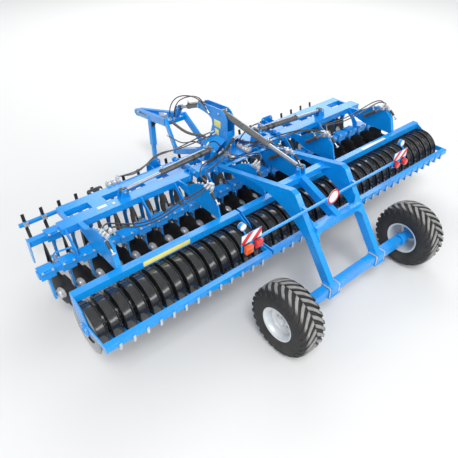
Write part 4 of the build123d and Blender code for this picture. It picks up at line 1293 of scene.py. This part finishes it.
# sloping foot plates of the tower, from its sides down to the rails, as x and z
towerFoot = {"course": ((0.070, 1.305), (0.300, 1.156), (0.300, 1.145), (0.286, 1.150), (0.070, 1.291)),
             "y": (2.352, 2.650)}


def makeTowerFeet():
    bm = bmesh.new()
    low, high = towerFoot["y"]
    for side in (-1, 1):
        outline = [(side * x, z) for x, z in towerFoot["course"]]
        addPlate(bm, outline, axleY + low, axleY + high, 0, "y")
    finishPiece("tower_foot_plates", bm, ["frameBlue"], "frame", 30)


# a square bar round the left end of the rear disc beam, and its foot
hoop = {"course": ((-2.600, 2.080, 0.905), (-2.800, 2.100, 0.915), (-2.850, 2.060, 0.915),
                   (-2.852, 2.005, 0.900)),
        "radius": 0.0125, "foot": ((-2.625, 2.000, 0.888), (-2.585, 2.095, 0.896)), "edge": 0.002}


def makeHoop():
    bm = bmesh.new()
    for start, end in zip(hoop["course"], hoop["course"][1:]):
        addRod(bm, inScene(start), inScene(end), hoop["radius"], 0, 4)
    low, high = hoop["foot"]
    addBox(bm, inScene(low), inScene(high), 0, hoop["edge"])
    finishPiece("end_hoop", bm, ["frameBlue"], "left_wing", 30)


# the accumulator on the left wing's front rail in its two clamps, and the valves beside it
vessel = {"ends": (-2.077, -1.870), "y": 2.640, "z": 1.128, "radius": 0.035, "clamps": (-2.030, -1.915),
          "clampHalf": 0.012, "clampY": (2.574, 2.612), "clampZ": (1.100, 1.150), "edge": 0.002}
valve = {"x": (-1.790, -1.720, -1.650), "half": 0.026, "y": (2.574, 2.650), "z": (1.120, 1.178),
         "edge": 0.004, "cap": (1.176, 1.205, 0.015), "nut": (2.648, 2.676, 1.150, 0.014)}


def makeAccumulator():
    bm = bmesh.new()
    start, end = (inScene((x, vessel["y"], vessel["z"])) for x in vessel["ends"])
    far, radius = (end - start).length, vessel["radius"]
    dome = ((0.0, 0.0), (radius - 0.017, 0.002), (radius - 0.005, 0.012), (radius, 0.028))
    profile = dome + tuple((r, far - z) for r, z in reversed(dome))
    addSpun(bm, profile, 28, axes(start, end - start), 0)
    (back, front), (under, over), half = vessel["clampY"], vessel["clampZ"], vessel["clampHalf"]
    for x in vessel["clamps"]:
        addBox(bm, inScene((x - half, back, under)), inScene((x + half, front, over)), 1, vessel["edge"])
    (back, front), (under, over), half = valve["y"], valve["z"], valve["half"]
    capLow, capHigh, capRadius = valve["cap"]
    nutBack, nutFront, nutZ, nutRadius = valve["nut"]
    for x in valve["x"]:
        addBox(bm, inScene((x - half, back, under)), inScene((x + half, front, over)), 1, valve["edge"])
        y = (back + front) / 2
        addRod(bm, inScene((x, y, capLow)), inScene((x, y, capHigh)), capRadius, 1, 14)
        addRod(bm, inScene((x, nutBack, nutZ)), inScene((x, nutFront, nutZ)), nutRadius, 1, 6)
    finishPiece("left_wing_valves", bm, ["blackIron", "zincPlate"], "left_wing", 30)


# from the middle of the jack tube's back, at its top: the gearbox, then the crank's bends
crank = {"box": ((-0.030, -0.022, -0.085), (0.030, 0, -0.015)), "edge": 0.005,
         "rods": (((0, -0.050, -0.050), (0, -0.020, -0.050), 0.011, 16),
                  ((0, -0.046, -0.050), (0.060, -0.046, 0.010), 0.008, 12),
                  ((0.060, -0.110, 0.010), (0.060, -0.040, 0.010), 0.012, 16))}


def makeJackCrank():
    bm = bmesh.new()
    low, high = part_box("jack_tube")
    top = Vector(((low.x + high.x) / 2, low.y, high.z))
    first, last = crank["box"]
    addBox(bm, top + Vector(first), top + Vector(last), 0, crank["edge"])
    for start, end, radius, steps in crank["rods"]:
        addRod(bm, top + Vector(start), top + Vector(end), radius, 0, steps)
    finishPiece("jack_crank", bm, ["blackIron"], "drawbar", 30)


for name, side in (("left", -1), ("right", 1)):
    makeFrontPlates(name, side)
makeTowerFeet()
makeAxleBolts()
makeHoop()
makeAccumulator()
makeJackCrank()
print("small pieces made")

# hoses: the course of each as x, y from the axle, z; a hose over a joint lists its two bodies and is left on
# neither
# the nut reaches back past the end; the shares are of the length of nut and ferrule
hoseLook = {"radius": 0.0090, "nut": 0.0125, "long": 0.050, "nutBack": 0.006, "nutShare": 0.35,
            "ferruleShare": 0.30, "ferrule": 0.92}
foldLeft = ("frame", "left_wing", (-0.62, 0, 0), (-1.02, 0, 0))
foldRight = ("frame", "right_wing", (0.62, 0, 0), (1.02, 0, 0))
tilt = ("frame", "drawbar", (0, axleY + 3.05, 0), (0, axleY + 3.60, 0))
hoses = {
    "left_front_line": (foldLeft, ((-0.078, 2.610, 1.345), (-0.200, 2.680, 1.300), (-0.400, 2.745, 1.230),
                                   (-0.560, 2.755, 1.205), (-0.708, 2.727, 1.215),
                                   (-0.879, 2.764, 1.225), (-1.049, 2.723, 1.222), (-1.209, 2.640, 1.200),
                                   (-1.430, 2.616, 1.175), (-1.640, 2.684, 1.168))),
    "left_front_return": (foldLeft, ((-0.078, 2.560, 1.330), (-0.200, 2.640, 1.270), (-0.400, 2.705, 1.215),
                                     (-0.590, 2.700, 1.215), (-0.780, 2.690, 1.242),
                                     (-0.960, 2.705, 1.240), (-1.150, 2.660, 1.215), (-1.380, 2.590, 1.170),
                                     (-1.560, 2.610, 1.190), (-1.650, 2.640, 1.215))),
    "left_rear_line": ("left_wing", ((-1.090, 1.482, 1.412), (-1.190, 1.450, 1.400), (-1.320, 1.508, 1.335),
                                     (-1.491, 1.545, 1.290), (-1.664, 1.501, 1.275), (-1.840, 1.493, 1.270),
                                     (-2.009, 1.506, 1.280), (-2.181, 1.590, 1.310), (-2.304, 1.620, 1.370),
                                     (-2.400, 1.570, 1.415), (-2.475, 1.482, 1.412))),
    "left_rear_return": ("left_wing", ((-1.095, 1.432, 1.412), (-1.210, 1.405, 1.385), (-1.350, 1.462, 1.315),
                                       (-1.520, 1.500, 1.270), (-1.700, 1.462, 1.258), (-1.880, 1.450, 1.262),
                                       (-2.060, 1.470, 1.275), (-2.220, 1.545, 1.320), (-2.350, 1.540, 1.385),
                                       (-2.475, 1.432, 1.412))),
    "left_inner_line": (foldLeft, ((-0.190, 2.190, 1.305), (-0.260, 2.130, 1.285), (-0.370, 2.030, 1.280),
                                   (-0.558, 1.931, 1.300), (-0.798, 1.842, 1.335), (-0.924, 1.727, 1.370),
                                   (-0.990, 1.580, 1.415), (-1.060, 1.500, 1.418))),
    "left_inner_return": (foldLeft, ((-0.330, 2.150, 1.290), (-0.470, 2.110, 1.280), (-0.620, 2.085, 1.285),
                                     (-0.760, 2.010, 1.305), (-0.890, 1.876, 1.340), (-1.010, 1.690, 1.385),
                                     (-1.050, 1.550, 1.420), (-1.060, 1.450, 1.418))),
    "centre_left_line": ("frame", ((-0.100, 2.200, 1.320), (-0.200, 2.110, 1.300), (-0.290, 1.999, 1.300),
                                   (-0.215, 1.870, 1.315), (-0.160, 1.760, 1.335), (-0.180, 1.620, 1.375),
                                   (-0.240, 1.520, 1.420), (-0.300, 1.500, 1.412))),
    "centre_left_return": ("frame", ((-0.110, 2.240, 1.175), (-0.240, 2.120, 1.190), (-0.230, 1.980, 1.225),
                                     (-0.090, 1.900, 1.265), (0.010, 1.820, 1.300), (-0.020, 1.690, 1.350),
                                     (-0.160, 1.520, 1.410), (-0.290, 1.452, 1.412))),
    "centre_right_line": ("frame", ((0.110, 2.280, 1.175), (0.270, 2.200, 1.210), (0.370, 2.060, 1.280),
                                    (0.340, 1.880, 1.350), (0.220, 1.720, 1.400), (0.200, 1.560, 1.430),
                                    (0.270, 1.490, 1.412))),
    "centre_right_return": ("frame", ((0.110, 2.230, 1.175), (0.220, 2.140, 1.200), (0.250, 2.010, 1.250),
                                      (0.180, 1.880, 1.310), (0.120, 1.720, 1.360), (0.150, 1.540, 1.405),
                                      (0.255, 1.440, 1.412))),
    "right_inner_line": (foldRight, ((0.150, 2.180, 1.180), (0.330, 2.090, 1.235), (0.560, 2.000, 1.290),
                                     (0.740, 1.880, 1.345), (0.850, 1.760, 1.390), (0.920, 1.600, 1.425),
                                     (0.998, 1.490, 1.414))),
    "right_inner_return": (foldRight, ((0.150, 2.120, 1.180), (0.300, 2.010, 1.255), (0.480, 1.850, 1.330),
                                       (0.690, 1.800, 1.380), (0.850, 1.660, 1.425), (0.900, 1.500, 1.428),
                                       (0.998, 1.440, 1.414))),
    "right_outer_line": ("right_wing", ((0.998, 1.470, 1.412), (1.080, 1.640, 1.420), (1.220, 1.722, 1.360),
                                        (1.586, 1.727, 1.300), (2.034, 1.751, 1.295), (2.300, 1.770, 1.315),
                                        (2.500, 1.730, 1.370), (2.520, 1.600, 1.415), (2.382, 1.480, 1.412))),
    "right_outer_return": ("right_wing", ((1.000, 1.430, 1.412), (1.120, 1.560, 1.425), (1.260, 1.670, 1.370),
                                          (1.600, 1.680, 1.290), (2.020, 1.700, 1.282), (2.280, 1.690, 1.330),
                                          (2.440, 1.620, 1.410), (2.440, 1.500, 1.430),
                                          (2.382, 1.432, 1.412))),
    "tower_top_line": (tilt, ((-0.060, 3.620, 1.150), (-0.062, 3.607, 1.283), (-0.062, 3.549, 1.410),
                              (-0.064, 3.452, 1.521), (-0.066, 3.319, 1.609), (-0.068, 3.151, 1.688),
                              (-0.074, 3.011, 1.735), (-0.078, 2.905, 1.742), (-0.082, 2.830, 1.700),
                              (-0.084, 2.740, 1.640))),
    "tower_top_return": (tilt, ((-0.110, 3.650, 1.150), (-0.115, 3.660, 1.275), (-0.115, 3.600, 1.430),
                                (-0.112, 3.480, 1.560), (-0.108, 3.330, 1.650), (-0.104, 3.140, 1.712),
                                (-0.100, 2.980, 1.735), (-0.098, 2.850, 1.716), (-0.094, 2.760, 1.660),
                                (-0.090, 2.690, 1.600))),
    "drawbar_side_line": ("drawbar", ((-0.125, 3.700, 1.170), (-0.112, 3.900, 1.120),
                                      (-0.100, 4.080, 1.075), (-0.088, 4.300, 1.010),
                                      (-0.074, 4.520, 0.965), (-0.070, 4.700, 0.930))),
    "drawbar_side_return": ("drawbar", ((-0.150, 3.690, 1.165), (-0.142, 3.900, 1.098),
                                        (-0.128, 4.100, 1.050), (-0.112, 4.320, 0.990),
                                        (-0.092, 4.540, 0.945), (-0.078, 4.710, 0.915))),
    "left_leg_line": (tilt, ((-0.300, 3.480, 1.010), (-0.300, 3.250, 1.020), (-0.300, 3.087, 1.040),
                             (-0.300, 2.955, 1.100), (-0.290, 2.790, 1.190), (-0.270, 2.640, 1.190),
                             (-0.260, 2.560, 1.165))),
}
# bundles of hoses in a woven sleeve
sleeves = {
    "left_dark_bundle": ("frame", 0.022, ((0.030, 2.270, 1.345), (-0.112, 2.202, 1.330),
                                          (-0.238, 2.149, 1.285), (-0.388, 2.138, 1.252),
                                          (-0.506, 2.150, 1.222), (-0.600, 2.192, 1.200))),
    "centre_bundle": ("frame", 0.016, ((0.085, 2.360, 1.300), (0.160, 2.300, 1.235), (0.280, 2.200, 1.205),
                                       (0.400, 2.110, 1.210), (0.500, 2.020, 1.225))),
    "drawbar_bundle": (tilt, 0.021, ((-0.100, 3.800, 1.195), (-0.100, 3.800, 1.130), (-0.100, 3.690, 1.118),
                                     (-0.100, 3.560, 1.115), (-0.100, 3.396, 1.092), (-0.100, 3.227, 1.090),
                                     (-0.100, 3.019, 1.133), (-0.100, 2.840, 1.205), (-0.100, 2.700, 1.190))),
}
# between a barrel's ports and the frame
shortHoses = {
    "left_fold_base": ("frame", "left_fold_barrel", (-0.30, 0, 0), (-0.50, 0, 0),
                       ((-0.125, 2.330, 1.170), (-0.200, 2.330, 1.290), (-0.330, 2.280, 1.410),
                        (-0.450, 2.245, 1.440), (-0.489, 2.240, 1.412))),
    "right_fold_base": ("frame", "right_fold_barrel", (0.30, 0, 0), (0.50, 0, 0),
                        ((0.125, 2.330, 1.170), (0.200, 2.330, 1.290), (0.330, 2.280, 1.410),
                         (0.450, 2.245, 1.440), (0.489, 2.240, 1.412))),
}


def makeHose(name, course, body, radius, material):
    points = [inScene(place) for place in course]
    curve = bpy.data.curves.new(name, "CURVE")
    curve.dimensions = "3D"
    spline = curve.splines.new("NURBS")
    spline.points.add(len(points) - 1)
    for point, place in zip(spline.points, points):
        point.co = (*place, 1)
    spline.order_u = 3
    spline.use_endpoint_u = True
    spline.resolution_u = 6
    curve.bevel_depth = radius
    curve.bevel_resolution = 2
    curve.use_fill_caps = True
    drawn = bpy.data.objects.new(name, curve)
    mesh = bpy.data.meshes.new_from_object(drawn)
    bpy.data.objects.remove(drawn)
    bm = bmesh.new()
    bm.from_mesh(mesh)
    bmesh.ops.remove_doubles(bm, verts=bm.verts, dist=1e-6)
    paint(bm.verts, 0)
    wide, far = hoseLook["nut"] * radius / hoseLook["radius"], hoseLook["long"]
    for tip, inner in ((points[0], points[1]), (points[-1], points[-2])):
        way = (inner - tip).normalized()
        nutEnd, ferruleStart = (tip + way * far * hoseLook[key] for key in ("nutShare", "ferruleShare"))
        addRod(bm, tip - way * hoseLook["nutBack"], nutEnd, wide, 1, 6)
        addRod(bm, ferruleStart, tip + way * far, wide * hoseLook["ferrule"], 1, 14)
    finishPiece(name, bm, [material, "zincPlate"], body, 40)


for name, (body, course) in hoses.items():
    makeHose(f"hose_{name}", course, body, hoseLook["radius"], "hoseRubber")
for name, (body, radius, course) in sleeves.items():
    material = "hoseSleeve" if name == "drawbar_bundle" else "hoseRubber"
    makeHose(f"hose_{name}", course, body, radius, material)
for name, (first, second, start, end, course) in shortHoses.items():
    makeHose(f"hose_{name}", course, (first, second, start, end), hoseLook["radius"], "hoseRubber")

# the blocks on the frame that the hoses start from, each with a row of unions
manifold = {"places": ((-0.150, 2.140, 1.150), (0.150, 2.140, 1.150)), "low": (-0.055, -0.060, 0),
            "high": (0.030, 0.190, 0.034), "edge": 0.004, "unions": 4, "first": (-0.030, -0.030, 0.034),
            "step": 0.055, "union": (0.012, 0.020)}


def makeManifolds():
    bm = bmesh.new()
    radius, tall = manifold["union"]
    for place in manifold["places"]:
        corner = inScene(place)
        addBox(bm, corner + Vector(manifold["low"]), corner + Vector(manifold["high"]), 0, manifold["edge"])
        for n in range(manifold["unions"]):
            spot = corner + Vector(manifold["first"]) + Vector((0, n * manifold["step"], 0))
            addRod(bm, spot, spot + Vector((0, 0, tall)), radius, 0, 6)
    finishPiece("frame_manifolds", bm, ["zincPlate"], "frame", 30)


makeManifolds()
print("hoses made")
